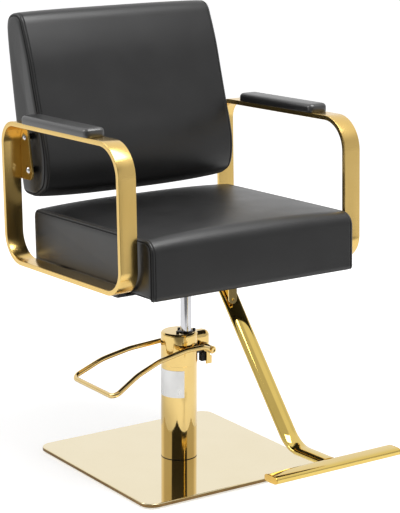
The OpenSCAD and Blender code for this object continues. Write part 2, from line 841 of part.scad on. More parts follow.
spring_least_gap = min([for (i = [0:spring_count - spring_steps])
  norm(coil_centre(i + spring_steps) - coil_centre(i)) - spring_wire_d]);
echo(str("least gap between turns of the pedal spring: ", spring_least_gap, " mm"));

module pedal_spring() {
  color(dark_steel) lofted_form(spring_rings);
}

// Pedal

module pedal_shaft() {
  color(steel) difference() {
    on_shaft(-shaft_half) cylinder(h=2 * shaft_half, r=shaft_r);
    for (s = [0, 1]) mirror([0, s, 0]) on_shaft(shaft_half - 3 * screw_head_h)
      cylinder(h=shaft_half, r=shaft_r / 2 + running_fit);
  }
}

module pedal_shaft_screws() {
  color(gold) for (s = [0, 1]) mirror([0, s, 0]) {
    on_shaft(shaft_half - 2 * screw_head_h) cylinder(h=2 * screw_head_h, r=shaft_r / 2);
    difference() {
      on_shaft(shaft_half) cylinder(h=screw_head_h, r=screw_head_r);
      on_shaft(shaft_half + screw_head_h - hex_socket_depth)
        cylinder(h=screw_head_h, r=hex_socket_r, $fn=6);
    }
  }
}

function pedal_arm(side) = [for (share = pedal_arm_shares)
  [shaft_x - pedal_l * share.x, side * mix(arm_half, toe_half, share.z),
   shaft_z + pedal_drop * share.y]];
pedal_points = concat(pedal_arm(-1), [for (i = [len(pedal_arm_shares) - 1:-1:0]) pedal_arm(1)[i]]);
pedal_radii = concat(pedal_bends, [for (i = [len(pedal_bends) - 1:-1:0]) pedal_bends[i]]);
pedal_path = rounded_path(pedal_points, pedal_radii, 8);

module pedal_loop() {
  color(gold) difference() {
    union() {
      lofted_form([for (i = [0:len(pedal_path) - 1])
        path_ring(pedal_path, i, pedal_rod_r, pedal_sides)]);
      for (s = [-1, 1]) on_shaft(s * arm_half - eye_half) cylinder(h=2 * eye_half, r=eye_r);
    }
    on_shaft(-shaft_half - cut_over) cylinder(h=2 * (shaft_half + cut_over), r=shaft_r + running_fit);
  }
}

module pedal_cam() {
  arm = [nose_x - shaft_x, nose_lift];
  color(steel) difference() {
    on_shaft(-cam_half) linear_extrude(2 * cam_half) mirror([0, 1]) {
      circle(eye_r);
      translate(arm) circle(nose_r);
      rotate([0, 0, atan2(arm.y, arm.x)]) translate([0, -cam_arm_half])
        square([norm(arm), 2 * cam_arm_half]);
    }
    on_shaft(-cam_half - cut_over) cylinder(h=2 * (cam_half + cut_over), r=shaft_r + running_fit);
  }
}

module stop_tab() {
  color(gold) difference() {
    union() {
      on_shaft(-tab_y - tab_t) cylinder(h=tab_t, r=tab_r);
      translate([shaft_x, -tab_y - tab_t, lip_bottom]) cube([lip_x + lip_t - shaft_x, tab_t,
        lip_top - lip_bottom]);
      translate([shaft_x, -tab_y - tab_t, lip_bottom]) cube([tab_r, tab_t, shaft_z - lip_bottom]);
      translate([lip_x, -tab_y - tab_t, lip_bottom])
        cube([lip_t, tab_y + tab_t - lip_end_y, lip_top - lip_bottom]);
    }
    on_shaft(-tab_y - tab_t - cut_over) cylinder(h=tab_t + 2 * cut_over, r=shaft_r + running_fit);
  }
}

// Seat mounting

module mount_hub() {
  below = mount_t + cover_cloth_t;
  color(dark_steel) difference() {
    at_ram(hub_bottom) cylinder(h=seat_z - hub_bottom, r=hub_r);
    at_ram(hub_bottom - cut_over) cylinder(h=rod_top_z - hub_bottom + cut_over + running_fit, r=rod_r);
    seat_frame() translate([-2 * hub_r, -2 * hub_r, -below]) cube([4 * hub_r, 4 * hub_r, seat_z]);
  }
}

module at_mount_bolts() {
  for (sx = [-1, 1], sy = [-1, 1])
    translate([sx * mount_hole_pitch / 2, sy * mount_hole_pitch / 2, 0]) children();
}

module mount_plate() {
  color(dark_steel) seat_frame() difference() {
    translate([0, 0, -mount_t - cover_cloth_t]) round_plate(mount_side, mount_side, mount_t, m8_head_r);
    at_mount_bolts() translate([0, 0, -2 * mount_t]) cylinder(h=3 * mount_t, r=m8_r + running_fit);
  }
}

module mount_bolts() {
  color(steel) seat_frame() at_mount_bolts() translate([0, 0, -mount_t - cover_cloth_t]) {
    cylinder(h=mount_t + cover_cloth_t + seat_board_t - tee_rim_t, r=m8_r);
    translate([0, 0, -m8_head_h]) cylinder(h=m8_head_h, r=m8_head_r, $fn=6);
  }
}

board_w = seat_w - 2 * board_margin;
board_d = seat_front + seat_rear - board_margin - board_rear_gap;
board_mid_y = (seat_rear - seat_front + board_margin - board_rear_gap) / 2;

module seat_board() {
  color(plywood) seat_frame() difference() {
    translate([0, board_mid_y, 0]) round_plate(board_w, board_d, seat_board_t, board_corner_r);
    at_mount_bolts() {
      translate([0, 0, -cut_over]) cylinder(h=2 * seat_board_t, r=tee_r + running_fit);
      translate([0, 0, seat_board_t - tee_rim_t]) cylinder(h=2 * tee_rim_t, r=tee_rim_r + running_fit);
    }
    at_board_screws() cylinder(h=bracket_screw_l - lug_t, r=bracket_screw_d / 2);
  }
}

module seat_t_nuts() {
  color(steel) seat_frame() at_mount_bolts() difference() {
    union() {
      translate([0, 0, running_fit]) cylinder(h=seat_board_t - tee_rim_t, r=tee_r);
      translate([0, 0, seat_board_t - tee_rim_t]) cylinder(h=tee_rim_t, r=tee_rim_r);
    }
    translate([0, 0, -cut_over]) cylinder(h=seat_board_t - tee_rim_t + cut_over, r=m8_r + running_fit);
  }
}

module seat_dust_cover() {
  color(black_rubber) seat_frame() difference() {
    translate([0, board_mid_y, -cover_cloth_t]) round_plate(board_w, board_d, cover_cloth_t,
      board_corner_r);
    at_mount_bolts() translate([0, 0, -2 * cover_cloth_t])
      cylinder(h=3 * cover_cloth_t, r=m8_r + running_fit);
    at_board_screws() translate([0, 0, -2 * cover_cloth_t])
      cylinder(h=3 * cover_cloth_t, r=bracket_screw_d / 2);
  }
}

// Where screws enter the underside of the seat board
module at_board_screws() {
  for (sx = [-1, 1]) {
    for (y = lug_places, side = [-1, 1])
      translate([sx * (loop_x - lug_in + lug_half / 2), y + side * lug_half / 2, 0]) children();
  }
  at_bracket_screws() children();
}

module at_bracket_screws() {
  for (sx = [-1, 1], y = [strip_half - bracket_plate_front, -strip_half - bracket_plate_rear])
    translate([sx * (bracket_plate_half - bracket_screw_inset), y, 0]) children();
}

// Seat cushion

// Side view of the seat as a closed outline, counter-clockwise from its lower front corner
seat_outline = concat(
  [[-seat_front + 2 * seat_bottom_r, 0]],
  arc(-seat_front + seat_bottom_r, seat_bottom_r - seat_lip, seat_bottom_r, 300, 180, 4),
  [for (t = [0.25, 0.5, 0.75]) [-seat_front, mix(seat_bottom_r, seat_h - seat_front_r, t)]],
  arc(-seat_front + seat_front_r, seat_h - seat_front_r, seat_front_r, 180, 90, 7),
  [for (t = [1:8]) [mix(-seat_front + seat_front_r, seat_rear - seat_top_rear_r, t / 9), seat_h]],
  arc(seat_rear - seat_top_rear_r, seat_h - seat_top_rear_r, seat_top_rear_r, 90, 0, 4),
  [for (t = [0.66, 0.33]) [seat_rear, mix(seat_bottom_r, seat_h - seat_top_rear_r, t)]],
  arc(seat_rear - seat_bottom_r, seat_bottom_r, seat_bottom_r, 0, -90, 2),
  [for (t = [0.66, 0.33]) [mix(-seat_front, seat_rear, t), 0]]
);

// The outline at share s of the half width: the top rises to its crown and the front bulges
function seat_ring(s, pull=0, size=1) = let (
    swell = 1 - pow(abs(s), 3),
    mid = [(seat_rear - seat_front) / 2, seat_h / 2],
    length = seat_front + seat_rear)
  [for (p = seat_outline) let (
      q = mid + (p - mid) * size,
      up = pow(max(0, q.y / seat_h), 2),
      fore = pow(max(0, (mid.x - q.x) / length * 2), 6) * sin(180 * max(0, min(1, q.y / seat_h))),
      over = 1 - pow(abs(q.x - mid.x) / length * 2, 4) * 0.6)
    [s * seat_w / 2 - sign(s) * pull, q.x - seat_bulge * swell * fore, q.y + seat_crown * swell * up * over]];

seat_rings = concat(
  [seat_ring(-1, seat_draw, panel_share)],
  [for (s = ring_places) seat_ring(s)],
  [seat_ring(1, seat_draw, panel_share)]
);

module seat_cushion() {
  color(black_leather) seat_frame() difference() {
    lofted_form(seat_rings);
    translate([0, board_mid_y, -cut_over])
      cube_on_floor(board_w + 2 * loose_fit, board_d + 2 * loose_fit,
        seat_board_t + cut_over + loose_fit);
  }
}

module cube_on_floor(w, d, h) {
  translate([-w / 2, -d / 2, 0]) cube([w, d, h]);
}

// Arm loops

module bar_profile() {
  square([bar_t - 2 * bar_edge_r, bar_w], center=true);
  square([bar_t, bar_w - 2 * bar_edge_r], center=true);
  for (sx = [-1, 1], sy = [-1, 1])
    translate([sx * (bar_t / 2 - bar_edge_r), sy * (bar_w / 2 - bar_edge_r)]) circle(bar_edge_r, $fn=16);
}

// Straight length of bar in the plane x = 0 from point a to point b, both [y, z]
module bar_between(a, b) {
  translate([0, a.x, a.y]) rotate([atan2(b.y - a.y, b.x - a.x), 0, 0]) rotate([-90, 0, 0])
    linear_extrude(norm(b - a)) rotate([0, 0, 90]) bar_profile();
}

// Quarter bend whose outer radius is r about the point c, starting at angle a
module bar_corner(c, r, a) {
  translate([0, c.x, c.y]) rotate([90, 0, 90]) rotate([0, 0, a])
    rotate_extrude(angle=90) translate([r - bar_t / 2, 0]) bar_profile();
}

module loop_of_bar() {
  y0 = -loop_front;
  y1 = loop_rear;
  half = bar_t / 2;
  bar_between([y0 + loop_r_front_low, loop_z + half], [y1 - loop_r_rear_low, loop_z + half]);
  bar_between([y0 + loop_r_front_top, loop_top - half], [y1 - loop_r_rear_top, loop_top - half]);
  bar_between([y0 + half, loop_z + loop_r_front_low], [y0 + half, loop_top - loop_r_front_top]);
  bar_between([y1 - half, loop_z + loop_r_rear_low], [y1 - half, loop_top - loop_r_rear_top]);
  bar_corner([y1 - loop_r_rear_top, loop_top - loop_r_rear_top], loop_r_rear_top, 0);
  bar_corner([y0 + loop_r_front_top, loop_top - loop_r_front_top], loop_r_front_top, 90);
  bar_corner([y0 + loop_r_front_low, loop_z + loop_r_front_low], loop_r_front_low, 180);
  bar_corner([y1 - loop_r_rear_low, loop_z + loop_r_rear_low], loop_r_rear_low, 270);
}

module arm_loop() {
  difference() {
    translate([loop_mid_x, 0, 0]) loop_of_bar();
    for (y = lug_places) translate([loop_x + lug_bolt_in, y, loop_z - cut_over])
      cylinder(h=lug_bolt_hold + cut_over + running_fit, r=lug_bolt_d / 2 + running_fit);
    at_pad_screws() translate([0, 0, -bar_t - cut_over])
      cylinder(h=bar_t + 2 * cut_over, r=pad_screw_d / 2 + running_fit);
  }
}

module arm_loop_right() { color(gold) seat_frame() arm_loop(); }
module arm_loop_left() { color(gold) seat_frame() mirror([1, 0, 0]) arm_loop(); }

module arm_lugs() {
  below = lug_t + cover_cloth_t;
  color(dark_steel) seat_frame() for (s = [0, 1], y = lug_places) mirror([s, 0, 0]) difference() {
    union() {
      translate([loop_x - lug_in, y - lug_half, -below])
        cube([lug_in + lug_l, 2 * lug_half, lug_t]);
      translate([loop_x + bar_edge_r, y - lug_half, -cover_cloth_t])
        cube([lug_l - bar_edge_r, 2 * lug_half, loop_z + cover_cloth_t]);
    }
    translate([loop_x + lug_bolt_in, y, -2 * below])
      cylinder(h=4 * below, r=lug_bolt_d / 2 + running_fit);
    for (side = [-1, 1])
      translate([loop_x - lug_in + lug_half / 2, y + side * lug_half / 2, -2 * below])
        cylinder(h=3 * below, r=bracket_screw_d / 2);
  }
}

module arm_bolts() {
  below = lug_t + cover_cloth_t;
  color(steel) seat_frame() for (s = [0, 1], y = lug_places) mirror([s, 0, 0]) {
    translate([loop_x + lug_bolt_in, y, -below]) {
      cylinder(h=below + loop_z + lug_bolt_hold, r=lug_bolt_d / 2);
      translate([0, 0, -lug_head_h]) cylinder(h=lug_head_h, r=lug_head_r);
    }
    for (side = [-1, 1])
      translate([loop_x - lug_in + lug_half / 2, y + side * lug_half / 2, -below]) wood_screw();
  }
}

// Round-headed wood screw that holds a plate from below, its head under z = 0
module wood_screw() {
  cylinder(h=bracket_screw_l, r=bracket_screw_d / 2);
  translate([0, 0, -bracket_screw_d / 2]) cylinder(h=bracket_screw_d / 2, r=bracket_screw_d);
}

module at_pad_screws() {
  for (s = [-1, 1])
    translate([loop_mid_x, pad_mid_y + s * pad_screw_pitch / 2, loop_top]) children();
}

module arm_pad() {
  difference() {
    translate([loop_mid_x, pad_mid_y, loop_top + pad_gap])
      rolled_plate(pad_w, pad_l, pad_t, pad_corner_r, pad_edge_r);
    at_pad_screws() cylinder(h=pad_screw_hold + running_fit, r=pad_screw_d / 2 + running_fit);
  }
}

module arm_pad_right() { color(black_leather) seat_frame() arm_pad(); }
module arm_pad_left() { color(black_leather) seat_frame() mirror([1, 0, 0]) arm_pad(); }

module arm_pad_screws() {
  color(steel) seat_frame() for (s = [0, 1]) mirror([s, 0, 0]) at_pad_screws() {
    translate([0, 0, -bar_t]) cylinder(h=bar_t + pad_screw_hold, r=pad_screw_d / 2);
    translate([0, 0, -bar_t - pad_screw_d / 2]) cylinder(h=pad_screw_d / 2, r=pad_screw_d);
  }
}

// Back

module back_bracket() {
  rear = loop_rear - bracket_lap;
  nose = bracket_low;
  translate([loop_x - bracket_t, 0, 0]) difference() {
    rotate([90, 0, 90]) linear_extrude(bracket_t) {
      polygon([[rear, nose.y - bracket_nose_r], [rear, bracket_top], [bracket_high_y, bracket_top],
        [nose.x - bracket_nose_r, nose.y], [nose.x, nose.y - bracket_nose_r]]);
      translate(nose) circle(bracket_nose_r);
    }
    for (p = back_screw_places) translate([-cut_over, p.x, p.y]) rotate([0, 90, 0])
      cylinder(h=bracket_t + 2 * cut_over, r=back_screw_d / 2 + running_fit);
  }
}

module back_bracket_right() { color(gold) seat_frame() back_bracket(); }
module back_bracket_left() { color(gold) seat_frame() mirror([1, 0, 0]) back_bracket(); }

// Places its children at each back screw on both sides, their z axis pointing inwards from x
module at_back_screws(x) {
  for (s = [0, 1], p = back_screw_places)
    mirror([s, 0, 0]) translate([x, p.x, p.y]) rotate([0, -90, 0]) children();
}

board_half = back_w / 2 - board_margin;

module back_screws() {
  color(chrome_grey) seat_frame() at_back_screws(loop_x) {
    cylinder(h=loop_x - board_half + back_screw_hold, r=back_screw_d / 2);
    intersection() {
      dome_r = (pow(back_screw_head_r, 2) + pow(back_screw_head_h, 2)) / (2 * back_screw_head_h);
      translate([0, 0, dome_r - back_screw_head_h]) sphere(dome_r);
      translate([0, 0, -back_screw_head_h]) cylinder(h=back_screw_head_h, r=back_screw_head_r);
    }
  }
}

module back_spacers() {
  color(dark_steel) seat_frame() at_back_screws(loop_x - bracket_t)
    tube(spacer_r, back_screw_d / 2 + running_fit, loop_x - bracket_t - board_half);
}

module back_inserts() {
  color(steel) seat_frame() at_back_screws(board_half)
    tube(back_screw_d / 2 + insert_wall, back_screw_d / 2 + running_fit, back_screw_hold);
}

// Slab of the back board grown by g, leaning back with the cushion
module back_slab(g) {
  low = back_screw_places[1].y - back_z - back_board_low;
  h = back_h - back_board_low - back_board_high;
  translate([0, back_board_y, back_screw_places[1].y]) rotate([-back_lean, 0, 0])
    translate([-board_half - g, -back_board_t / 2 - g, -low - g])
      cube([2 * (board_half + g), back_board_t + 2 * g, h + 2 * g]);
}

module back_board() {
  color(plywood) seat_frame() difference() {
    back_slab(0);
    at_back_screws(board_half + cut_over)
      cylinder(h=back_screw_hold + cut_over + running_fit, r=back_screw_d / 2 + insert_wall + running_fit);
  }
}

back_outline = closed_curve([for (share = back_shares)
  [back_y + back_depth * share.x, back_z + back_h * share.y]], 2);

// The side view at share s of the half width, swollen about a line that leans with it
function back_ring(s, pull=0, size=1) = let (
    swell = 1 - pow(abs(s), 3),
    mid = [back_y + back_depth / 2, back_z + back_h / 2],
    round_off = 1 - 0.015 * pow(abs(s), 40))
  [for (p = back_outline) let (
      q = mid + (p - mid) * size * round_off,
      share = (q.y - back_z) / back_h,
      spine = back_y + back_depth * (back_spine_share + back_spine_lean_share * share),
      across = (q.x - spine) / back_depth * 2)
    [s * back_w / 2 - sign(s) * pull, q.x + back_swell * swell * across,
     q.y + swell * (back_swell / 2 * pow(max(0, share), 8)
       - back_low_swell * pow(max(0, 1 - share), 8))]];

back_rings = concat(
  [back_ring(-1, seat_draw, panel_share)],
  [for (s = ring_places) back_ring(s)],
  [back_ring(1, seat_draw, panel_share)]
);

module back_cushion() {
  mouth_h = back_screw_places[1].y - back_z;
  color(black_leather) seat_frame() difference() {
    lofted_form(back_rings);
    back_slab(loose_fit);
    translate([-board_half - loose_fit, back_board_y + mouth_shift - mouth_t / 2 - back_board_t / 3,
      back_z - back_board_low])
      cube([2 * (board_half + loose_fit), mouth_t, mouth_h]);
    at_back_screws(back_w) cylinder(h=back_w - board_half, r=spacer_r + loose_fit);
  }
}

// Footrest

stem_top = [-stem_y, 0];
stem_foot = [-stem_foot_y, -bar_drop];
stem_turn = turn_angle(stem_foot - stem_top, [-1, 0]);
stem_cut = stem_bend_r * tan(stem_turn / 2);
weld_y = (oval_w - oval_t) / 2 - rest_y + weld_land;

// Solid run of the stem from under the seat to the footrest bar, in the plane x = 0. The bend is
// a touch fatter than the straight runs and laps over their ends.
module stem_run(wall) {
  along = unit(stem_foot - stem_top);
  start = stem_top - along * oval_t;
  bend_start = stem_foot - along * stem_cut;
  bend_end = stem_foot + [-stem_cut, 0];
  lean = atan2(along.y, along.x);
  run_profile_between(start, bend_start, lean) stem_profile(wall);
  run_profile_between(bend_end, [weld_y - (wall > 0 ? cut_over : 0), -bar_drop], 180)
    stem_profile(wall);
  centre = bend_end + [0, stem_bend_r];
  translate([0, centre.x, centre.y]) rotate([90, 0, 90]) rotate([0, 0, -90 - bend_lap])
    rotate_extrude(angle=stem_turn + 2 * bend_lap) translate([stem_bend_r, 0])
      stem_profile(wall - bend_swell);
}

module stem_profile(wall) {
  oval_profile(oval_w - 2 * wall, oval_t - 2 * wall);
}

// Extrudes a profile, whose width is along X, from a to b, both [y, z], heading at angle lean
module run_profile_between(a, b, lean) {
  translate([0, a.x, a.y]) rotate([lean, 0, 0]) rotate([-90, 0, 0])
    linear_extrude(norm(b - a)) rotate([0, 0, 90]) children();
}

module footrest_stem() {
  color(gold) seat_frame() difference() {
    stem_run(0);
    stem_run(oval_wall);
    translate([-oval_w, -stem_y - oval_w, -bracket_plate_t - cover_cloth_t])
      cube([2 * oval_w, 3 * oval_w, 2 * oval_w]);
    rest_bar_form(oval_w, oval_t, rest_l);
  }
}

// Flat oval of width w and thickness t, lying along X where the footrest bar is
module rest_bar_form(w, t, l) {
  translate([-l / 2, -rest_y, -bar_drop]) rotate([90, 0, 90]) linear_extrude(l)
    rotate([0, 0, 90]) oval_profile(w, t);
}

module footrest_bar() {
  color(gold) seat_frame() difference() {
    rest_bar_form(oval_w, oval_t, rest_l - 2 * cap_t);
    rest_bar_form(oval_w - 2 * oval_wall, oval_t - 2 * oval_wall, rest_l + cut_over);
  }
}

module footrest_end_caps() {
  color(gold) seat_frame() for (s = [0, 1]) mirror([s, 0, 0]) {
    intersection() {
      rest_bar_form(oval_w, oval_t, rest_l);
      translate([rest_l / 2 - cap_t, -2 * rest_y, -2 * bar_drop]) cube([rest_l, 2 * rest_y, 2 * bar_drop]);
    }
    intersection() {
      rest_bar_form(oval_w - 2 * oval_wall - 2 * running_fit, oval_t - 2 * oval_wall - 2 * running_fit,
        rest_l);
      translate([rest_l / 2 - cap_t - cap_plug_l, -2 * rest_y, -2 * bar_drop])
        cube([cap_plug_l, 2 * rest_y, 2 * bar_drop]);
    }
  }
}

module footrest_bracket() {
  below = bracket_plate_t + cover_cloth_t;
  slope = (stem_foot_y - stem_y) / bar_drop;
  color(gold) seat_frame() difference() {
    union() {
      translate([0, -(bracket_plate_front + bracket_plate_rear) / 2, -below])
        round_plate(2 * bracket_plate_half, bracket_plate_front - bracket_plate_rear, bracket_plate_t,
          strip_half);
      translate([strip_x, -strip_y + strip_t, 0]) rotate([90, 0, 0]) linear_extrude(strip_t) {
        translate([-strip_half, -strip_l + strip_half])
          square([2 * strip_half, strip_l - strip_half - below + cut_over]);
        translate([0, -strip_l + strip_half]) circle(strip_half);
      }
      for (s = [0, 1]) mirror([s, 0, 0]) translate([oval_w / 2, 0, -below]) rotate([90, 0, 90])
        linear_extrude(cheek_t) polygon([
          [-stem_y - oval_w / 2, cut_over], [-stem_y + oval_w / 2, cut_over],
          [-stem_y + oval_w / 2, 0], [-stem_y - cheek_h * slope + oval_t / 2, -cheek_h],
          [-stem_y - cheek_h * slope - oval_t / 2, -cheek_h], [-stem_y - oval_w / 2, 0]]);
    }
    translate([strip_x, -strip_y - strip_t, -strip_l + strip_half]) rotate([-90, 0, 0])
      cylinder(h=4 * strip_t, r=strip_hole_r);
    at_bracket_screws() translate([0, 0, -2 * below]) cylinder(h=3 * below, r=bracket_screw_d / 2);
  }
}

module footrest_screws() {
  color(steel) seat_frame() at_bracket_screws()
    translate([0, 0, -bracket_plate_t - cover_cloth_t]) wood_screw();
}

base_plate();
base_feet();
column_casing();
column_foot();
column_bolts();
ram_cylinder();
cylinder_plug();
oil_pipe();
head_casting();
head_cover();
cover_screws();
gland_nut();
gland_seal();
pump_barrel();
pedal_bushes();
stop_buffer();
pedal_spring();
column_label();
pedal_shaft();
pedal_shaft_screws();
pedal_loop();
pedal_cam();
stop_tab();
pump_plunger();
ram_piston();
piston_seals();
ram_rod();
rod_circlip();
mount_hub();
mount_plate();
mount_bolts();
seat_board();
seat_t_nuts();
seat_cushion();
seat_dust_cover();
arm_loop_left();
arm_loop_right();
arm_lugs();
arm_bolts();
arm_pad_left();
arm_pad_right();
arm_pad_screws();
back_bracket_left();
back_bracket_right();
back_screws();
back_spacers();
back_inserts();
back_board();
back_cushion();
footrest_bracket();
footrest_stem();
footrest_bar();
footrest_end_caps();
footrest_screws();
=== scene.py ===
"""Hairdressing chair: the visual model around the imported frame.

Lengths in this file are millimetres unless a name says otherwise, and turn into metres where a
mesh is made. Pieces of the seat are worked out in the seat's own frame (x across, y to the rear,
z up from the seat's underside at the ram) and then placed by seat_to_world.
"""
import json
import math

import bmesh
import bpy
import numpy as np
from mathutils import Matrix, Vector


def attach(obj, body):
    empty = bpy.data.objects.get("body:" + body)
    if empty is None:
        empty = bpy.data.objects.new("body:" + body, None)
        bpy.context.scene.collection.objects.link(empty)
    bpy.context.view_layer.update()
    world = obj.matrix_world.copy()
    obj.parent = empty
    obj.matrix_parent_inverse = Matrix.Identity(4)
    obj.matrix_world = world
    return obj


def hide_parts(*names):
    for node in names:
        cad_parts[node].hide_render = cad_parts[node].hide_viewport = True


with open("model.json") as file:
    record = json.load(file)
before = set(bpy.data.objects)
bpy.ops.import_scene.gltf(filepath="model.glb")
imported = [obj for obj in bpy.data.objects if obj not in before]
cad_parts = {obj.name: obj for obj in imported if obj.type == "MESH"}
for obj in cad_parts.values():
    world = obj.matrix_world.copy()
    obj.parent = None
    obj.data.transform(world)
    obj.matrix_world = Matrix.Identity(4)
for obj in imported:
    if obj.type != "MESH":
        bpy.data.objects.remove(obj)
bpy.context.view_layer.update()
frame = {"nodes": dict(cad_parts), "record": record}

MM = 0.001
SCENE = bpy.context.scene

# ---------------------------------------------------------------- camera

CAMERA_AT = (-2186.4, -3291.0, 1424.2)
CAMERA_YAW, CAMERA_PITCH, CAMERA_ROLL = 34.24, 13.76, 0.232
FOCAL_PX, FRAME_PX = 1911.5, 513


def add_camera():
    """The photograph's view: yaw and pitch aim it, and the roll turns it about its own axis."""
    yaw, pitch, roll = (math.radians(a) for a in (CAMERA_YAW, CAMERA_PITCH, CAMERA_ROLL))
    run = math.cos(pitch)
    ahead = Vector((math.sin(yaw) * run, math.cos(yaw) * run, -math.sin(pitch)))
    level = Vector((math.cos(yaw), -math.sin(yaw), 0))
    right = level * math.cos(roll) + level.cross(ahead) * math.sin(roll)
    up = right.cross(ahead)
    data = bpy.data.cameras.new("camera")
    data.sensor_width = 36
    data.lens = FOCAL_PX * data.sensor_width / FRAME_PX
    data.clip_start, data.clip_end = 0.1, 60
    camera = bpy.data.objects.new("camera", data)
    turn = Matrix((right, up, -ahead)).transposed().to_4x4()
    camera.matrix_world = Matrix.Translation(Vector(CAMERA_AT) * MM) @ turn
    SCENE.collection.objects.link(camera)
    SCENE.camera = camera


add_camera()

# ---------------------------------------------------------------- node tools


class Net:
    """Adds nodes to one node tree and links them, so that a material reads as a list of steps."""

    def __init__(self, tree):
        self.tree = tree

    def add(self, kind, inputs=None, **settings):
        """A new node with its settings, and its inputs fed with constants or other nodes' outputs."""
        node = self.tree.nodes.new(kind)
        for name, value in settings.items():
            setattr(node, name, value)
        for name, value in (inputs or {}).items():
            self.feed(value, node.inputs[name])
        return node

    def feed(self, value, socket):
        """Links another node's output to a socket, or sets a constant on it."""
        if isinstance(value, bpy.types.NodeSocket):
            self.tree.links.new(value, socket)
        else:
            socket.default_value = value

    def math(self, kind, a, b=0.0):
        """Two numbers made one by a Math node."""
        return self.add("ShaderNodeMath", {0: a, 1: b}, operation=kind).outputs[0]

    def spread(self, value, low, high, to_low, to_high):
        """Carries value from low..high to to_low..to_high and holds it there."""
        return self.add("ShaderNodeMapRange", {"Value": value, "From Min": low, "From Max": high,
                                               "To Min": to_low, "To Max": to_high}).outputs["Result"]

    def blend(self, share, a, b):
        """Colour a where share is 0, colour b where it is 1."""
        node = self.add("ShaderNodeMix", data_type="RGBA")
        for value, socket in ((share, node.inputs["Factor"]), (a, node.inputs[6]), (b, node.inputs[7])):
            self.feed(value, socket)
        return node.outputs[2]

    def measure(self, kind, a, b=(0, 0, 0)):
        """A number from vectors: DOT_PRODUCT or DISTANCE of the two, or LENGTH of the first."""
        return self.add("ShaderNodeVectorMath", {0: a, 1: b}, operation=kind).outputs["Value"]

    def highest(self, *values):
        """The largest of several numbers."""
        most = values[0]
        for value in values[1:]:
            most = self.math("MAXIMUM", most, value)
        return most

    def here(self):
        """Object coordinates, in metres."""
        return self.add("ShaderNodeTexCoord").outputs["Object"]

    def place(self, scale=(1, 1, 1)):
        """Object coordinates, stretched by scale."""
        return self.add("ShaderNodeMapping", {"Vector": self.here(), "Scale": scale}).outputs["Vector"]


def group(name, inputs, outputs):
    """An empty node group with a vector input, named number inputs and outputs, and its two end
    nodes."""
    tree = bpy.data.node_groups.new(name, "ShaderNodeTree")
    for label, value in inputs.items():
        kind = "NodeSocketVector" if label == "Vector" else "NodeSocketFloat"
        socket = tree.interface.new_socket(label, in_out="INPUT", socket_type=kind)
        if kind == "NodeSocketFloat":
            socket.default_value = value
    for label in outputs:
        tree.interface.new_socket(label, in_out="OUTPUT", socket_type="NodeSocketFloat")
    net = Net(tree)
    start = tree.nodes.new("NodeGroupInput")
    end = tree.nodes.new("NodeGroupOutput")
    return tree, net, start, end


def grain_group():
    """Leather grain: rounded pebbles with creases between them, over a slow wander of the hide."""
    tree, net, start, end = group("hide grain", {"Vector": 0, "Pebbles": 900.0}, ["Height", "Tone"])
    vector, count = start.outputs["Vector"], start.outputs["Pebbles"]
    wander = net.add("ShaderNodeTexNoise", {"Vector": vector, "Scale": 160.0, "Detail": 2.0})
    bent = net.add("ShaderNodeVectorMath", {0: wander.outputs["Color"], 1: (0.004, 0.004, 0.004)},
                   operation="MULTIPLY")
    moved = net.add("ShaderNodeVectorMath", {0: vector, 1: bent.outputs[0]}, operation="ADD")
    cells = net.add("ShaderNodeTexVoronoi", {"Vector": moved.outputs[0], "Scale": count},
                    feature="SMOOTH_F1")
    fine = net.add("ShaderNodeTexNoise", {"Vector": vector, "Scale": 2600.0, "Detail": 2.0})
    pebble = net.spread(cells.outputs["Distance"], 0.1, 0.75, 1.0, 0.0)
    height = net.math("ADD", pebble, net.math("MULTIPLY", fine.outputs["Fac"], 0.25))
    net.feed(height, end.inputs["Height"])
    slow = net.add("ShaderNodeTexNoise", {"Vector": vector, "Scale": 14.0, "Detail": 4.0})
    net.feed(net.spread(slow.outputs["Fac"], 0.3, 0.7, 0.0, 1.0), end.inputs["Tone"])
    return tree


def haze_group():
    """Handling haze on a bright finish: slow cloudy patches and a fine speckle, each 0 to 1."""
    tree, net, start, end = group("handling haze", {"Vector": 0, "Size": 9.0}, ["Cloud", "Speckle"])
    vector = start.outputs["Vector"]
    cloud = net.add("ShaderNodeTexNoise", {"Vector": vector, "Scale": start.outputs["Size"],
                                           "Detail": 5.0, "Roughness": 0.6})
    speckle = net.add("ShaderNodeTexNoise", {"Vector": vector, "Scale": 900.0, "Detail": 1.0})
    net.feed(net.spread(cloud.outputs["Fac"], 0.35, 0.7, 0.0, 1.0), end.inputs["Cloud"])
    net.feed(net.spread(speckle.outputs["Fac"], 0.55, 0.75, 0.0, 1.0), end.inputs["Speckle"])
    return tree


def brush_group():
    """Brushed finish: fine lines that run along a bar, as noise stretched far along y and z."""
    tree, net, start, end = group("brush lines", {"Vector": 0}, ["Line"])
    vector = net.add("ShaderNodeMapping", {"Vector": start.outputs["Vector"], "Scale": (1100, 7, 7)})
    line = net.add("ShaderNodeTexNoise", {"Vector": vector.outputs["Vector"], "Scale": 1.0, "Detail": 3.0})
    net.feed(net.spread(line.outputs["Fac"], 0.3, 0.7, 0.0, 1.0), end.inputs["Line"])
    return tree


def weave_group():
    """Plain weave: two crossed sets of ridges, each a sine of its own coordinate."""
    tree, net, start, end = group("plain weave", {"Vector": 0, "Threads": 900.0}, ["Height"])
    apart = net.add("ShaderNodeSeparateXYZ", {"Vector": start.outputs["Vector"]})
    ridges = []
    for axis in (0, 1):
        turn = net.math("MULTIPLY", apart.outputs[axis], start.outputs["Threads"])
        ridges.append(net.math("ABSOLUTE", net.math("SINE", turn)))
    net.feed(net.math("MULTIPLY", ridges[0], ridges[1]), end.inputs["Height"])
    return tree


GRAIN, HAZE, BRUSH, WEAVE = grain_group(), haze_group(), brush_group(), weave_group()


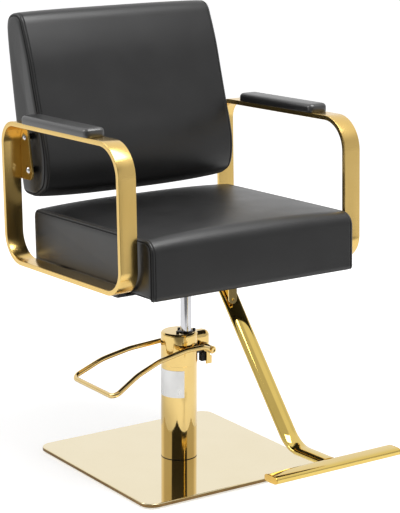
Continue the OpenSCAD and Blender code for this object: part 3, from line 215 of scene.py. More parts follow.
class Finish(Net):
    """A Principled material under construction."""

    def __init__(self, name, **constants):
        self.material = bpy.data.materials.new(name)
        self.material.use_nodes = True
        super().__init__(self.material.node_tree)
        self.shader = self.tree.nodes["Principled BSDF"]
        for label, value in constants.items():
            self.shader.inputs[label.replace("_", " ")].default_value = value

    def use(self, tree, inputs=None):
        """Places a shared node group on Object coordinates."""
        node = self.add("ShaderNodeGroup", node_tree=tree)
        self.feed(self.place(), node.inputs["Vector"])
        for name, value in (inputs or {}).items():
            self.feed(value, node.inputs[name])
        return node.outputs

    def set(self, label, value):
        """Feeds one input of the Principled shader."""
        self.feed(value, self.shader.inputs[label])

    def bump(self, height, depth, strength):
        """Relief from a height of 0 to 1, depth metres deep."""
        node = self.add("ShaderNodeBump", {"Height": height, "Distance": depth, "Strength": strength})
        self.set("Normal", node.outputs["Normal"])


def rgb(red, green, blue):
    """A colour with the fourth number that Blender's colour sockets hold."""
    return (red, green, blue, 1.0)


def polished_metal(name, colour, deep, rough=(0.05, 0.11), coat=0.0):
    """Mirror-bright plated metal: haze dulls it in slow patches and deepens its colour a little."""
    finish = Finish(name, Metallic=1.0, Coat_Weight=coat, Coat_Roughness=0.04)
    haze = finish.use(HAZE)
    finish.set("Base Color", finish.blend(haze["Cloud"], rgb(*colour), rgb(*deep)))
    dull = finish.math("ADD", haze["Cloud"], finish.math("MULTIPLY", haze["Speckle"], 0.5))
    finish.set("Roughness", finish.spread(dull, 0.0, 1.5, *rough))
    finish.bump(haze["Cloud"], 0.00003, 0.35)
    return finish.material


def brushed_metal(name, colour, deep, rough=(0.20, 0.25)):
    """Satin plated bar: lines along its length change its dullness and its height."""
    finish = Finish(name, Metallic=1.0, Coat_Weight=0.2, Coat_Roughness=0.12)
    line = finish.use(BRUSH)["Line"]
    haze = finish.use(HAZE, {"Size": 6.0})
    finish.set("Base Color", finish.blend(haze["Cloud"], rgb(*colour), rgb(*deep)))
    finish.set("Roughness", finish.spread(line, 0.0, 1.0, *rough))
    finish.bump(line, 0.00001, 0.06)
    return finish.material


def dull_metal(name, colour, deep, rough=(0.35, 0.55), size=30.0, grit=0.00008):
    """Plain machined, cast or blackened metal with a slightly uneven skin."""
    finish = Finish(name, Metallic=1.0)
    haze = finish.use(HAZE, {"Size": size})
    finish.set("Base Color", finish.blend(haze["Cloud"], rgb(*colour), rgb(*deep)))
    finish.set("Roughness", finish.spread(haze["Cloud"], 0.0, 1.0, *rough))
    finish.bump(haze["Speckle"], grit, 0.4)
    return finish.material


def leather(name, dark, light, pebbles=900.0, depth=0.00014, rough=(0.33, 0.41), shine=0.6):
    """Coated upholstery leather: pebbled grain, slow changes of tone, creases a little duller. Painted
    shade: where the mesh's shade mark is high, in its seams, along its stitch lines and on faces that
    point down, it is made dull and nearly black."""
    finish = Finish(name, Specular_IOR_Level=shine)
    painted_shade = finish.add("ShaderNodeAttribute", attribute_name="painted_shade_mark").outputs["Fac"]
    grain = finish.use(GRAIN, {"Pebbles": pebbles})
    tone = finish.blend(grain["Tone"], rgb(*dark), rgb(*light))
    # Painted shade: the marked seams, stitch lines and undersides turn nearly black
    finish.set("Base Color", finish.blend(painted_shade, tone, rgb(0.002, 0.002, 0.002)))
    worn = finish.math("ADD", finish.math("MULTIPLY", grain["Height"], -0.35), grain["Tone"])
    finish.set("Roughness", finish.math("ADD", finish.spread(worn, -0.4, 1.0, *rough),
                                        finish.math("MULTIPLY", painted_shade, 0.6)))
    finish.bump(grain["Height"], depth, 0.6)
    return finish.material


def rubber(name, colour, rough):
    """Dull moulded rubber or plastic with a fine, even texture."""
    finish = Finish(name, Roughness=rough)
    grain = finish.use(GRAIN, {"Pebbles": 1500.0})
    lighter = tuple(c * 1.5 + 0.004 for c in colour)
    finish.set("Base Color", finish.blend(grain["Tone"], rgb(*colour), rgb(*lighter)))
    finish.bump(grain["Height"], 0.00006, 0.5)
    return finish.material


def plywood():
    """Birch ply: long pale figure along x and thin darker glue lines between its plies in z."""
    finish = Finish("birch ply", Roughness=0.62)
    figure = finish.add("ShaderNodeTexNoise", {"Vector": finish.place((4, 60, 60)), "Scale": 1.0,
                                               "Detail": 6.0})
    height = finish.add("ShaderNodeSeparateXYZ", {"Vector": finish.here()}).outputs["Z"]
    plies = finish.math("ABSOLUTE", finish.math("SINE", finish.math("MULTIPLY", height, 1300.0)))
    glue = finish.spread(plies, 0.0, 0.25, 0.45, 0.0)
    wood = finish.blend(figure.outputs["Fac"], rgb(0.58, 0.40, 0.22), rgb(0.38, 0.23, 0.11))
    finish.set("Base Color", finish.blend(glue, wood, rgb(0.16, 0.09, 0.04)))
    finish.bump(figure.outputs["Fac"], 0.0001, 0.4)
    return finish.material


def dust_cloth():
    """Black non-woven cloth under the seat, with a weave that shows close up."""
    finish = Finish("dust cloth", Roughness=0.9)
    height = finish.use(WEAVE, {"Threads": 2600.0})["Height"]
    finish.set("Base Color", finish.blend(height, rgb(0.003, 0.003, 0.003), rgb(0.008, 0.008, 0.0085)))
    finish.bump(height, 0.0001, 0.6)
    return finish.material


GOLD = (0.765, 0.555, 0.205)
GOLD_DEEP = (0.73, 0.51, 0.175)
FINISHES = {
    "polished_gold": polished_metal("polished gold", GOLD, GOLD_DEEP, coat=0.5),
    "satin_gold": brushed_metal("satin gold", (0.79, 0.55, 0.185), (0.75, 0.505, 0.155)),
    "pedal_gold": polished_metal("pedal gold", (0.76, 0.55, 0.20), (0.71, 0.49, 0.165),
                                 rough=(0.05, 0.10), coat=1.0),
    "steel": dull_metal("zinc plated steel", (0.58, 0.59, 0.61), (0.46, 0.47, 0.49)),
    "black_steel": dull_metal("black oxide steel", (0.05, 0.05, 0.052), (0.03, 0.03, 0.031),
                              rough=(0.22, 0.38)),
    "chrome": polished_metal("hard chrome", (0.62, 0.62, 0.64), (0.57, 0.57, 0.59),
                             rough=(0.05, 0.10)),
    "cast_head": dull_metal("cast iron", (0.09, 0.09, 0.092), (0.05, 0.05, 0.05), grit=0.0003),
    "rubber": rubber("black rubber", (0.018, 0.018, 0.018), 0.7),
    "bronze": dull_metal("bearing bronze", (0.50, 0.32, 0.13), (0.38, 0.23, 0.09)),
    "upholstery": leather("charcoal leather", (0.005, 0.005, 0.0052), (0.0075, 0.0075, 0.0078)),
    "moulded_pad": leather("moulded pad skin", (0.018, 0.018, 0.0182), (0.024, 0.024, 0.0242),
                           pebbles=1500.0, depth=0.00006, rough=(0.27, 0.34), shine=1.0),
    "plywood": plywood(),
    "dust_cloth": dust_cloth(),
    "label_metal": dull_metal("silver label foil", (0.76, 0.76, 0.755), (0.72, 0.72, 0.715),
                              rough=(0.26, 0.34), size=18.0, grit=0.00002),
}
# Finishes of single pieces: the base plate and its darker edge, the footrest's tube and caps, the thread
PLATE_GOLD = polished_metal("plate gold", (0.82, 0.70, 0.43), (0.80, 0.675, 0.40),
                            rough=(0.04, 0.08), coat=1.0)
DARKER_EDGE = dull_metal("darker plate edge", (0.27, 0.17, 0.07), (0.22, 0.135, 0.05), rough=(0.3, 0.45))
TUBE_GOLD = polished_metal("tube gold", (0.745, 0.545, 0.15), (0.70, 0.50, 0.125),
                           rough=(0.04, 0.08), coat=0.2)
CAP_GOLD = brushed_metal("end cap gold", (0.74, 0.47, 0.10), (0.68, 0.41, 0.08), rough=(0.22, 0.34))
THREAD = rubber("bonded thread", (0.03, 0.03, 0.031), 0.55)

# ---------------------------------------------------------------- mesh tools

RAM_AT = (8.0, -14.0)
SEAT_AT = (*RAM_AT, 444.8)
SEAT_TILT = math.radians(2.0)


def seat_to_world(points):
    """Leans points of the seat's frame back by its tilt about x, then moves them to its origin."""
    x, y, z = np.moveaxis(np.asarray(points, float), -1, 0)
    lean, rise = math.cos(SEAT_TILT), math.sin(SEAT_TILT)
    turned = np.stack([x, y * lean + z * rise, z * lean - y * rise], -1)
    return turned + np.array(SEAT_AT)


def grid_faces(rows, columns, round_rows=False, round_columns=False):
    """Quads between neighbouring points of a grid; a round direction joins its last line to its
    first."""
    r = np.arange(rows if round_rows else rows - 1)[:, None]
    c = np.arange(columns if round_columns else columns - 1)[None, :]
    r2, c2 = (r + 1) % rows, (c + 1) % columns
    quads = np.stack(np.broadcast_arrays(r * columns + c, r * columns + c2, r2 * columns + c2,
                                         r2 * columns + c), -1)
    return quads.reshape(-1, 4).tolist()


def end_faces(rows, columns):
    """The first and the last ring of a grid, each as one flat face."""
    return [list(range(columns))[::-1], list(range((rows - 1) * columns, rows * columns))]


def cleaned(mesh, join, flat=0.0):
    """Joins points closer than join, in metres, then makes one face of neighbours that turn by less
    than flat degrees, and turns all faces outwards."""
    work = bmesh.new()
    work.from_mesh(mesh)
    bmesh.ops.remove_doubles(work, verts=work.verts, dist=join)
    if flat:
        bmesh.ops.dissolve_limit(work, angle_limit=math.radians(flat), verts=work.verts,
                                 edges=work.edges)
    bmesh.ops.recalc_face_normals(work, faces=work.faces)
    work.to_mesh(mesh)
    work.free()


def add_piece(name, points, faces, material, body, stands_for=(), crease=40.0, in_seat=False,
              painted_shade=None):
    """Makes one object of points in millimetres: joins points that coincide, turns all faces
    outwards, shades it smooth except where faces meet at more than crease degrees, and has it ride
    on its body. Its last argument gives each point's painted shade for the leather, from 0, none,
    to 1, full."""
    points = np.asarray(points, float).reshape(-1, 3)
    if in_seat:
        points = seat_to_world(points)
    mesh = bpy.data.meshes.new(name)
    mesh.from_pydata((points * MM).tolist(), [], faces)
    if painted_shade is not None:
        # A mark of painted shade, which the leather finish turns nearly black
        mark = mesh.attributes.new("painted_shade_mark", "FLOAT", "POINT")
        mark.data.foreach_set("value", painted_shade.reshape(-1))
    cleaned(mesh, join=3e-6)
    return finish_piece(name, mesh, material, body, stands_for, crease)


def finish_piece(name, mesh, material, body, stands_for, crease):
    """The object of a finished mesh, with its shading, finish, body and the nodes it replaces."""
    mesh.shade_smooth()
    mesh.set_sharp_from_angle(angle=math.radians(crease))
    mesh.materials.clear()
    mesh.materials.append(material)
    piece = bpy.data.objects.new(name, mesh)
    SCENE.collection.objects.link(piece)
    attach(piece, body)
    if stands_for:
        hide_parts(*stands_for)
    return piece


BROKEN_EDGE, COPY_CREASE = 0.35, 30.0


def copied_piece(name, node, material, body):
    """A CAD node's own shape with its triangles joined, flat faces made whole and its sharp edges
    broken by a small bevel, as a deburred part has them."""
    mesh = frame["nodes"][node].data.copy()
    cleaned(mesh, join=5e-6, flat=0.6)
    mesh.name = name
    piece = finish_piece(name, mesh, material, body, (node,), COPY_CREASE)
    bevel = piece.modifiers.new("broken edges", "BEVEL")
    bevel.width = BROKEN_EDGE * MM
    bevel.segments = 2
    bevel.limit_method = "ANGLE"
    bevel.angle_limit = math.radians(COPY_CREASE)
    bevel.harden_normals = True


def arc(y, z, radius, start, end, steps):
    """Points on an arc about (y, z) from angle start to angle end, in degrees."""
    a = np.radians(np.linspace(start, end, steps + 1))
    return np.stack([y + radius * np.cos(a), z + radius * np.sin(a)], 1)


def lathe(profile, centre, steps=96):
    """Turns a profile of (radius, height) about a vertical axis: each point goes round a circle."""
    profile = np.asarray(profile, float)
    a = np.linspace(0, 2 * np.pi, steps, endpoint=False)
    r, z = profile[:, 0][:, None], profile[:, 1][:, None]
    points = np.stack([centre[0] + r * np.cos(a), centre[1] + r * np.sin(a), z + 0 * a], -1)
    return points, grid_faces(len(profile), steps, round_columns=True)


def rounded_box_outline(width, depth, radius, steps=10):
    """Plan outline of a rectangle with round corners, as points and outward normals."""
    w, d = width / 2 - radius, depth / 2 - radius
    a = np.radians(np.concatenate([np.linspace(q, q + 90, steps + 1) for q in (0, 90, 180, 270)]))
    corner = np.repeat([[w, d], [-w, d], [-w, -d], [w, -d]], steps + 1, axis=0)
    normal = np.stack([np.cos(a), np.sin(a)], 1)
    return corner + radius * normal, normal


def rolled_slab(outline, normal, section):
    """Carries a section of (inset, height) round a plan outline: each point of the outline moves in
    along its normal by the inset. The first and last rings close over as flat faces."""
    section = np.asarray(section, float)
    inset, height = section[:, 0][:, None, None], section[:, 1][:, None]
    flat = outline[None] - normal[None] * inset
    points = np.concatenate([flat, np.broadcast_to(height, flat.shape[:2])[..., None]], -1)
    rows, columns = points.shape[:2]
    return points, grid_faces(rows, columns, round_columns=True) + end_faces(rows, columns)


def tube_along(path, section, side=None, round_path=False):
    """Carries a closed section of (a, b) along a path. At each point a lies along the side axis
    and b along side x path; the side axis is kept square to the path. Open ends get flat faces."""
    path = np.asarray(path, float)
    ahead = np.roll(path, -1, 0) - np.roll(path, 1, 0)
    if not round_path:
        ahead[0], ahead[-1] = path[1] - path[0], path[-1] - path[-2]
    ahead /= np.linalg.norm(ahead, axis=1, keepdims=True)
    if side is None:
        side = carried_side(ahead)
    side = np.broadcast_to(np.asarray(side, float), ahead.shape)
    side = side - ahead * (side * ahead).sum(1, keepdims=True)
    side /= np.linalg.norm(side, axis=1, keepdims=True)
    third = np.cross(side, ahead)
    section = np.asarray(section, float)
    a, b = section[None, :, :1], section[None, :, 1:]
    points = path[:, None] + side[:, None] * a + third[:, None] * b
    rows, columns = points.shape[:2]
    faces = grid_faces(rows, columns, round_path, round_columns=True)
    return points, faces if round_path else faces + end_faces(rows, columns)


def carried_side(ahead):
    """A side direction that turns as little as possible from one point of a path to the next."""
    side = np.cross(ahead[0], (0, 0, 1.0))
    sides = []
    for way in ahead:
        side = side - way * side.dot(way)
        side = side / np.linalg.norm(side)
        sides.append(side)
    return np.array(sides)


def circle_section(radius, sides):
    """A circle as a section for tube_along."""
    a = np.linspace(0, 2 * np.pi, sides, endpoint=False)
    return radius * np.stack([np.cos(a), np.sin(a)], 1)


def oval_section(width, thickness, sides=64, power=2.15):
    """Drawn oval tube: |x / half width|^p + |y / half thickness|^p = 1, width along the first
    axis."""
    a = np.linspace(0, 2 * np.pi, sides, endpoint=False)
    x, y = (np.sign(f) * np.abs(f) ** (2 / power) for f in (np.cos(a), np.sin(a)))
    return np.stack([width / 2 * x, thickness / 2 * y], 1)


def rounded_path(points, bends, steps=10):
    """A path through points whose corners are arcs of the given radii, tangent to both runs."""
    points = np.asarray(points, float)
    path = [points[:1]]
    for i in range(1, len(points) - 1):
        into = points[i] - points[i - 1]
        out = points[i + 1] - points[i]
        into, out = into / np.linalg.norm(into), out / np.linalg.norm(out)
        turn = math.acos(np.clip(into.dot(out), -1, 1))
        inward = out - into * into.dot(out)
        inward /= np.linalg.norm(inward)
        start = points[i] - into * bends[i] * math.tan(turn / 2)
        a = np.linspace(0, turn, max(3, math.ceil(steps * turn / 1.57) + 1))[:, None]
        path.append(start + bends[i] * (inward * (1 - np.cos(a)) + into * np.sin(a)))
    path.append(points[-1:])
    return np.vstack(path)


def merged(*parts):
    """Several (points, faces) as one: the faces of each count on from the points before it."""
    points, faces, count = [], [], 0
    for part_points, part_faces in parts:
        part_points = np.asarray(part_points, float).reshape(-1, 3)
        points.append(part_points)
        faces += [[i + count for i in face] for face in part_faces]
        count += len(part_points)
    return np.vstack(points), faces

# ---------------------------------------------------------------- base and column

PLATE_SIDE, PLATE_CORNER, PLATE_LOW, PLATE_TOP, PLATE_ROLL = 450, 28, 4, 12, 2
UPRIGHT = 0.3  # a face is upright where the rise of its normal is less
COLUMN_R, COLUMN_BORE, COLUMN_TOP, COLUMN_GROOVE = 39, 36.5, 222, 0.7
LABEL_TURN, LABEL_LOW, LABEL_TOP = (146, 253.6), 153, 213


def base_plate():
    """A square slab with round corners; the upper edge is a quarter circle of 2 mm. Its upright
    faces have a darker, duller finish."""
    outline, normal = rounded_box_outline(PLATE_SIDE, PLATE_SIDE, PLATE_CORNER, 14)
    roll = arc(PLATE_ROLL, PLATE_TOP - PLATE_ROLL, PLATE_ROLL, 180, 90, 6)
    section = [(1.2, PLATE_LOW), (0.4, PLATE_LOW), (0, PLATE_LOW + 0.4), *roll.tolist(),
               (3.2, PLATE_TOP)]
    points, faces = rolled_slab(outline, normal, section)
    plate = add_piece("floor_plate", points, faces, PLATE_GOLD, "base",
                      ("base_plate",), crease=30)
    # The upright faces get a darker, duller finish
    plate.data.materials.append(DARKER_EDGE)
    for face in plate.data.polygons:
        face.material_index = int(abs(face.normal.z) < UPRIGHT)


def column():
    """The casing is a tube. Its upper rim is broken by 0.4 mm, and a groove 1 mm high round its foot
    gets the black steel finish, painted shade that shows as a dark line above the plate. The blank
    label is a thin sheet bent round its side."""
    r, groove_r, top = COLUMN_R, COLUMN_R - COLUMN_GROOVE, COLUMN_TOP
    groove_top = PLATE_TOP + 1
    profile = [(COLUMN_BORE, PLATE_TOP), (groove_r, PLATE_TOP), (groove_r, groove_top),
               (r, groove_top + 0.3), (r, PLATE_TOP + 3), (r, top - 2), (r, top - 0.4), (r - 0.4, top),
               (COLUMN_BORE, top), (COLUMN_BORE, PLATE_TOP)]
    points, faces = lathe(profile, (0, 0), 160)
    tube = add_piece("column_tube", points, faces, FINISHES["polished_gold"], "base",
                     ("column_casing",), crease=25)
    # Painted shade: the groove's faces take the black steel finish
    tube.data.materials.append(FINISHES["black_steel"])
    for face in tube.data.polygons:
        face.material_index = int(face.center.z < (groove_top + 0.2) * MM)
    a = np.radians(np.linspace(*LABEL_TURN, 90))[:, None]
    proud = np.array([0.05, 0.35, 0.45, 0.45])
    radius = r + np.concatenate([proud, proud[::-1]])[None]
    edge = np.array([0, 0, 0.1, 0.6])
    height = np.concatenate([LABEL_LOW + edge, LABEL_TOP - edge[::-1]])[None]
    points = np.stack([radius * np.cos(a), radius * np.sin(a), height + 0 * a], -1)
    rows, columns = points.shape[:2]
    faces = grid_faces(rows, columns, round_columns=True) + end_faces(rows, columns)
    add_piece("blank_label", points, faces, FINISHES["label_metal"], "base",
              ("column_label",), crease=30)


ROD_R, ROD_FOOT, SHOULDER, ROD_TOP = 12, 121, 150.05, 428


def rod():
    """The chromed rod and its turned-down tail, a profile turned about the ram's axis."""
    profile = [(0, ROD_FOOT), (5, ROD_FOOT), (5, ROD_FOOT + 2), (6, ROD_FOOT + 2), (6, SHOULDER),
               (ROD_R - 0.4, SHOULDER), (ROD_R, SHOULDER + 0.45), (ROD_R, ROD_TOP - 0.5),
               (ROD_R - 0.5, ROD_TOP), (0, ROD_TOP)]
    points, faces = lathe(profile, RAM_AT, 96)
    add_piece("lift_rod", points, faces, FINISHES["chrome"], "piston", ("ram_rod",))


# ---------------------------------------------------------------- pedal

SHAFT_X, SHAFT_Z = 54.0, 253.0
PEDAL_REACH, PEDAL_DROP, ARM_HALF, TOE_HALF = 270.0, 50.0, 44.0, 84.0
PEDAL_SHARES = ((0, 0, 0), (0.09, 0.18, 0.08), (0.255, 0.175, 0.1), (0.528, 0, 0.38),
                (0.757, -0.34, 0.69), (1, -1, 1))
PEDAL_BENDS = (0, 22, 90, 90, 110, 15)
PEDAL_WIRE_R, EYE_R, EYE_BORE, EYE_HALF = 5.5, 8.5, 5.05, 6


def pedal_loop():
    """One bent rod, a circle of 11 mm carried along a path of straight runs and bends, with an eye
    at each end: a ring turned about the shaft. The path's points are shares of the pedal's reach,
    its drop and its spread."""
    along, up, out = np.array(PEDAL_SHARES, float).T
    arm = np.stack([SHAFT_X - PEDAL_REACH * along, ARM_HALF + (TOE_HALF - ARM_HALF) * out,
                    SHAFT_Z + PEDAL_DROP * up], 1)
    start = arm[1] - arm[0]
    arm[0] = arm[0] + start / np.linalg.norm(start) * 7.2
    near = arm * (1, -1, 1)
    path = rounded_path(np.vstack([near, arm[::-1]]), PEDAL_BENDS + PEDAL_BENDS[::-1], 14)
    parts = [tube_along(path, circle_section(PEDAL_WIRE_R, 28))]
    ring = [(EYE_BORE, -EYE_HALF), (EYE_R - 0.6, -EYE_HALF), (EYE_R, 0.6 - EYE_HALF),
            (EYE_R, EYE_HALF - 0.6), (EYE_R - 0.6, EYE_HALF), (EYE_BORE, EYE_HALF), (EYE_BORE, -EYE_HALF)]
    for side in (-1, 1):
        points, faces = lathe(ring, (0, 0), 48)
        x, y, z = np.moveaxis(points, -1, 0)
        parts.append((np.stack([SHAFT_X + x, side * ARM_HALF + z, SHAFT_Z + y], -1), faces))
    points, faces = merged(*parts)
    add_piece("foot_pedal", points, faces, FINISHES["pedal_gold"], "pedal",
              ("pedal_loop",))


SPRING_R, SPRING_PITCH, SPRING_TURNS, SPRING_WIRE_R, SPRING_Y, SPRING_LEG = 6.4, 2.5, 3, 1.0, -28.5, 24.9


def return_spring():
    """A straight leg against the cover, three turns of a helix and a short end, of 2 mm wire."""
    turn = np.linspace(0, SPRING_TURNS, SPRING_TURNS * 24 + 1)
    a = np.pi / 2 - 2 * np.pi * turn
    coil = np.stack([SHAFT_X + SPRING_R * np.cos(a), SPRING_Y - SPRING_PITCH * turn,
                     SHAFT_Z + SPRING_R * np.sin(a)], 1)
    leg = coil[0] - np.array([[SPRING_LEG, 0, 0], [12.4, 0, 0], [1.5, 0, 0]])
    path = np.vstack([leg, coil, coil[-1] + (2.0, 0, 0)])
    points, faces = tube_along(path, circle_section(SPRING_WIRE_R, 12))
    add_piece("pedal_return_spring", points, faces, FINISHES["black_steel"], "base",
              ("pedal_spring",))


# ---------------------------------------------------------------- arm loops and pads

LOOP_X = 277.0
BAR_W, BAR_T = 40, 10
PAD_W, PAD_L, PAD_H, PAD_CORNER = 48, 266, 18, 12
PAD_AT = (27.5, 308.3)


def arm_loops():
    """A flat bar of 40 by 10 mm carried round a closed path in the plane of x: four straight runs
    and four bends whose outer radii are 50, 70, 55 and 65 mm, from the upper rear one forwards."""
    front, rear, low, top, half = -218.0, 252.0, 2.0, 308.0, BAR_T / 2
    bends = ((rear - 50, top - 50, 50, 0), (front + 70, top - 70, 70, 90),
             (front + 55, low + 55, 55, 180), (rear - 65, low + 65, 65, 270))
    path = np.vstack([arc(y, z, r - half, a, a + 90, 22) for y, z, r, a in bends])
    section = rounded_box_outline(BAR_W, BAR_T, 0.9, 4)[0]
    for side, name in ((-1, "left"), (1, "right")):
        line = np.column_stack([np.full(len(path), side * LOOP_X), path])
        points, faces = tube_along(line, section, side=(1, 0, 0), round_path=True)
        add_piece(f"arm_loop_bar_{name}", points, faces, FINISHES["satin_gold"], "seat",
                  (f"arm_loop_{name}",), in_seat=True)


def arm_pads():
    """A slab of 48 by 266 by 18 mm. Its upper edge is a quarter circle of half its height, and past
    that each ring draws in towards the pad's middle line over a crown of 0.7 mm, a sine."""
    outline, normal = rounded_box_outline(PAD_W, PAD_L, PAD_CORNER, 10)
    r = PAD_H / 2
    roll = arc(r, PAD_H - r, r, 180, 90, 10)
    rings = rolled_slab(outline, normal, [(2.0, 0), (0.6, 0), (0, 0.7), *roll.tolist()])[0]
    last = rings[-1]
    reach = (PAD_L - PAD_W) / 2
    line = np.stack([0 * last[:, 0], np.clip(last[:, 1], -reach, reach), last[:, 2]], 1)
    share = np.array([0.12, 0.3, 0.5, 0.75, 1.0])[:, None, None]
    top = last + (line - last) * share
    top[..., 2] += 0.7 * np.sin(share[..., 0] * np.pi / 2)
    rings = np.concatenate([rings, top])
    rows, columns = rings.shape[:2]
    faces = grid_faces(rows, columns, round_columns=True) + end_faces(rows, columns)[:1]
    for side, name in ((-1, "left"), (1, "right")):
        points = rings + (side * LOOP_X, *PAD_AT)
        piece = add_piece(f"arm_pad_skin_{name}", points, faces, FINISHES["moulded_pad"], "seat",
                          (f"arm_pad_{name}",), crease=60, in_seat=True)


# ---------------------------------------------------------------- footrest

REST_Y, REST_Z, REST_HALF = -508.0, -314.0, 150.0
STEM_TOP_Y, STEM_TURN_Y, STEM_END_Y, STEM_BEND, STEM_GAP = -125.6, -379.0, -491.0, 70, 5.6
TUBE_W, STEM_T, REST_T, REST_SQUARE = 40, 16.5, 15.5, 3.6
CAP_SECTION = ((0.5, 0), (0.05, 0.25), (0, 0.6), (0.1, 2.2), (0.5, 2.8), (1.2, 3))


def footrest():
    """Stem and bar are oval tubes 40 mm wide. The stem runs down, bends by 70 mm and ends in the bar,
    which is squarer and lies across, with an end cap at each side."""
    top, foot = np.array([0, STEM_TOP_Y, 0]), np.array([0, STEM_TURN_Y, REST_Z])
    start = top + (foot - top) * (STEM_GAP / -REST_Z)
    path = rounded_path([start, foot, (0, STEM_END_Y, REST_Z)], (0, STEM_BEND, 0), 28)
    points, faces = tube_along(path, oval_section(TUBE_W, STEM_T), side=(1, 0, 0))
    add_piece("footrest_stem_tube", points, faces, TUBE_GOLD, "seat",
              ("footrest_stem",), in_seat=True)
    outline = oval_section(TUBE_W, REST_T, power=REST_SQUARE)
    bar = [(-REST_HALF, REST_Y, REST_Z), (REST_HALF, REST_Y, REST_Z)]
    points, faces = tube_along(bar, outline, side=(0, 1, 0))
    add_piece("footrest_cross_bar", points, faces, TUBE_GOLD, "seat",
              ("footrest_bar",), in_seat=True)
    cap, faces = rolled_slab(outline, outward(outline), CAP_SECTION)
    across, along, out = np.moveaxis(cap, -1, 0)
    parts = []
    for side in (-1, 1):
        ends = np.stack([side * (REST_HALF + out), across + REST_Y, along + REST_Z], -1)
        parts.append((ends, faces))
    points, faces = merged(*parts)
    add_piece("footrest_caps", points, faces, CAP_GOLD, "seat",
              ("footrest_end_caps",), in_seat=True)


# ---------------------------------------------------------------- cushions


def curve_round(points, steps):
    """A smooth closed curve through points: between two of them runs a cubic whose slopes come from
    their neighbours."""
    p0, p1, p2, p3 = (np.roll(points, s, 0)[:, None] for s in (1, 0, -1, -2))
    t = (np.arange(steps) / steps)[None, :, None]
    curve = (2 * p1 + (p2 - p0) * t + (2 * p0 - 5 * p1 + 4 * p2 - p3) * t ** 2
             + (3 * p1 - p0 - 3 * p2 + p3) * t ** 3) / 2
    return curve.reshape(-1, 2)


def evenly(outline, count):
    """Points at equal steps of length along a closed outline."""
    ring = np.vstack([outline, outline[:1]])
    run = np.concatenate([[0], np.cumsum(np.linalg.norm(np.diff(ring, axis=0), axis=1))])
    places = np.linspace(0, run[-1], count, endpoint=False)
    return np.stack([np.interp(places, run, ring[:, k]) for k in (0, 1)], 1)


def outward(outline):
    """Unit normals that point out of a closed outline, whichever way it runs."""
    ahead = np.roll(outline, -1, 0) - np.roll(outline, 1, 0)
    normal = np.stack([ahead[:, 1], -ahead[:, 0]], 1)
    normal /= np.linalg.norm(normal, axis=1, keepdims=True)
    y, z = outline.T
    area = (y * np.roll(z, -1) - z * np.roll(y, -1)).sum()
    return normal * np.sign(area)


SEAT_HALF, SEAT_H, SEAT_MIDDLE, SEAT_REACH = 251.0, 116, -24, 232
SEAT_CROWN, SEAT_BULGE = 14, 3


def seat_outline():
    """Side view of the seat: a box of about 464 by 116 mm with its corners rounded by 6, 27, 16 and
    6 mm and a lip that hangs 4 mm below it along the front."""
    return np.vstack([[(-244, 0)], arc(-250, 2, 6, 300, 180, 8), arc(-229, 89, 27, 180, 90, 24),
                      arc(192, 100, 16, 90, 0, 14), arc(202, 6, 6, 0, -90, 6)])


def seat_form(share, ring):
    """The top rises to a crown and the front bulges, both as 1 - |share|^3 across the seat. The crown
    falls off to front and rear as a fourth power, and the bulge is a sine of the height."""
    y, z = ring[..., 0], ring[..., 1]
    swell = 1 - np.abs(share) ** 3
    up = np.clip(z / SEAT_H, 0, None) ** 2
    fore = np.clip((SEAT_MIDDLE - y) / SEAT_REACH, 0, None) ** 6
    fore = fore * np.sin(np.pi * np.clip(z / SEAT_H, 0, 1))
    over = 1 - 0.6 * (np.abs(y - SEAT_MIDDLE) / SEAT_REACH) ** 4
    return np.stack([y - SEAT_BULGE * swell * fore, z + SEAT_CROWN * swell * up * over], -1)


BACK_HALF, BACK_AT, BACK_SIZE = 243.0, (163, 140), (151, 386)
BACK_FULL, BACK_CROWN, BACK_SAG = 5, 2.5, 8
BACK_SHARES = (
    (0.200, 0.022), (0.075, 0.058), (0.012, 0.125), (0, 0.215), (0.050, 0.315), (0.150, 0.445),
    (0.268, 0.608), (0.384, 0.773), (0.520, 0.915), (0.600, 0.978), (0.709, 1), (0.850, 0.996),
    (0.950, 0.975), (1, 0.925), (0.985, 0.820), (0.925, 0.640), (0.850, 0.440), (0.765, 0.240),
    (0.700, 0.060), (0.640, 0.010), (0.477, 0), (0.325, 0.002))


def back_outline():
    """Side view of the backrest: a smooth curve through points given as shares of its depth and
    height."""
    return curve_round(np.array(BACK_SHARES) * BACK_SIZE + BACK_AT, 10)


def back_form(share, ring):
    """Front and rear swell away from a line that leans with the backrest, its upper edge rises and its
    lower edge sags, all as 1 - |share|^3 across it. At its very sides it draws in by 1.5%."""
    share = np.abs(share)
    swell = 1 - share ** 3
    depth, height = BACK_SIZE
    middle = np.array(BACK_AT) + np.array(BACK_SIZE) / 2
    ring = middle + (ring - middle) * (1 - 0.015 * share ** 40)[..., None]
    y, z = ring[..., 0] - BACK_AT[0], ring[..., 1]
    rise = (z - BACK_AT[1]) / height
    across = (y - depth * (0.42 + 0.36 * rise)) / (depth / 2)
    upper = BACK_CROWN * np.clip(rise, 0, None) ** 8
    lower = BACK_SAG * np.clip(1 - rise, 0, None) ** 8
    return np.stack([ring[..., 0] + BACK_FULL * swell * across, z + swell * (upper - lower)], -1)


# Distances from a side seam at which the fine net has a row, on the wrap and down the side panel,
# and then shares of the way to the panel's middle
WRAP_STEPS = np.array([0, 0.5, 1.0, 1.6, 2.4, 3.4, 4.6, 5.8, 6.8, 7.4, 8.0, 8.6, 9.2, 10.4, 12.4, 15.5,
                       20, 26])
PANEL_STEPS = np.array([0.5, 1.0, 1.7, 2.6, 3.8, 5.0])
PANEL_SHARES = np.array([0.05, 0.11, 0.18, 0.27, 0.38, 0.52, 0.7, 0.87, 1.0])
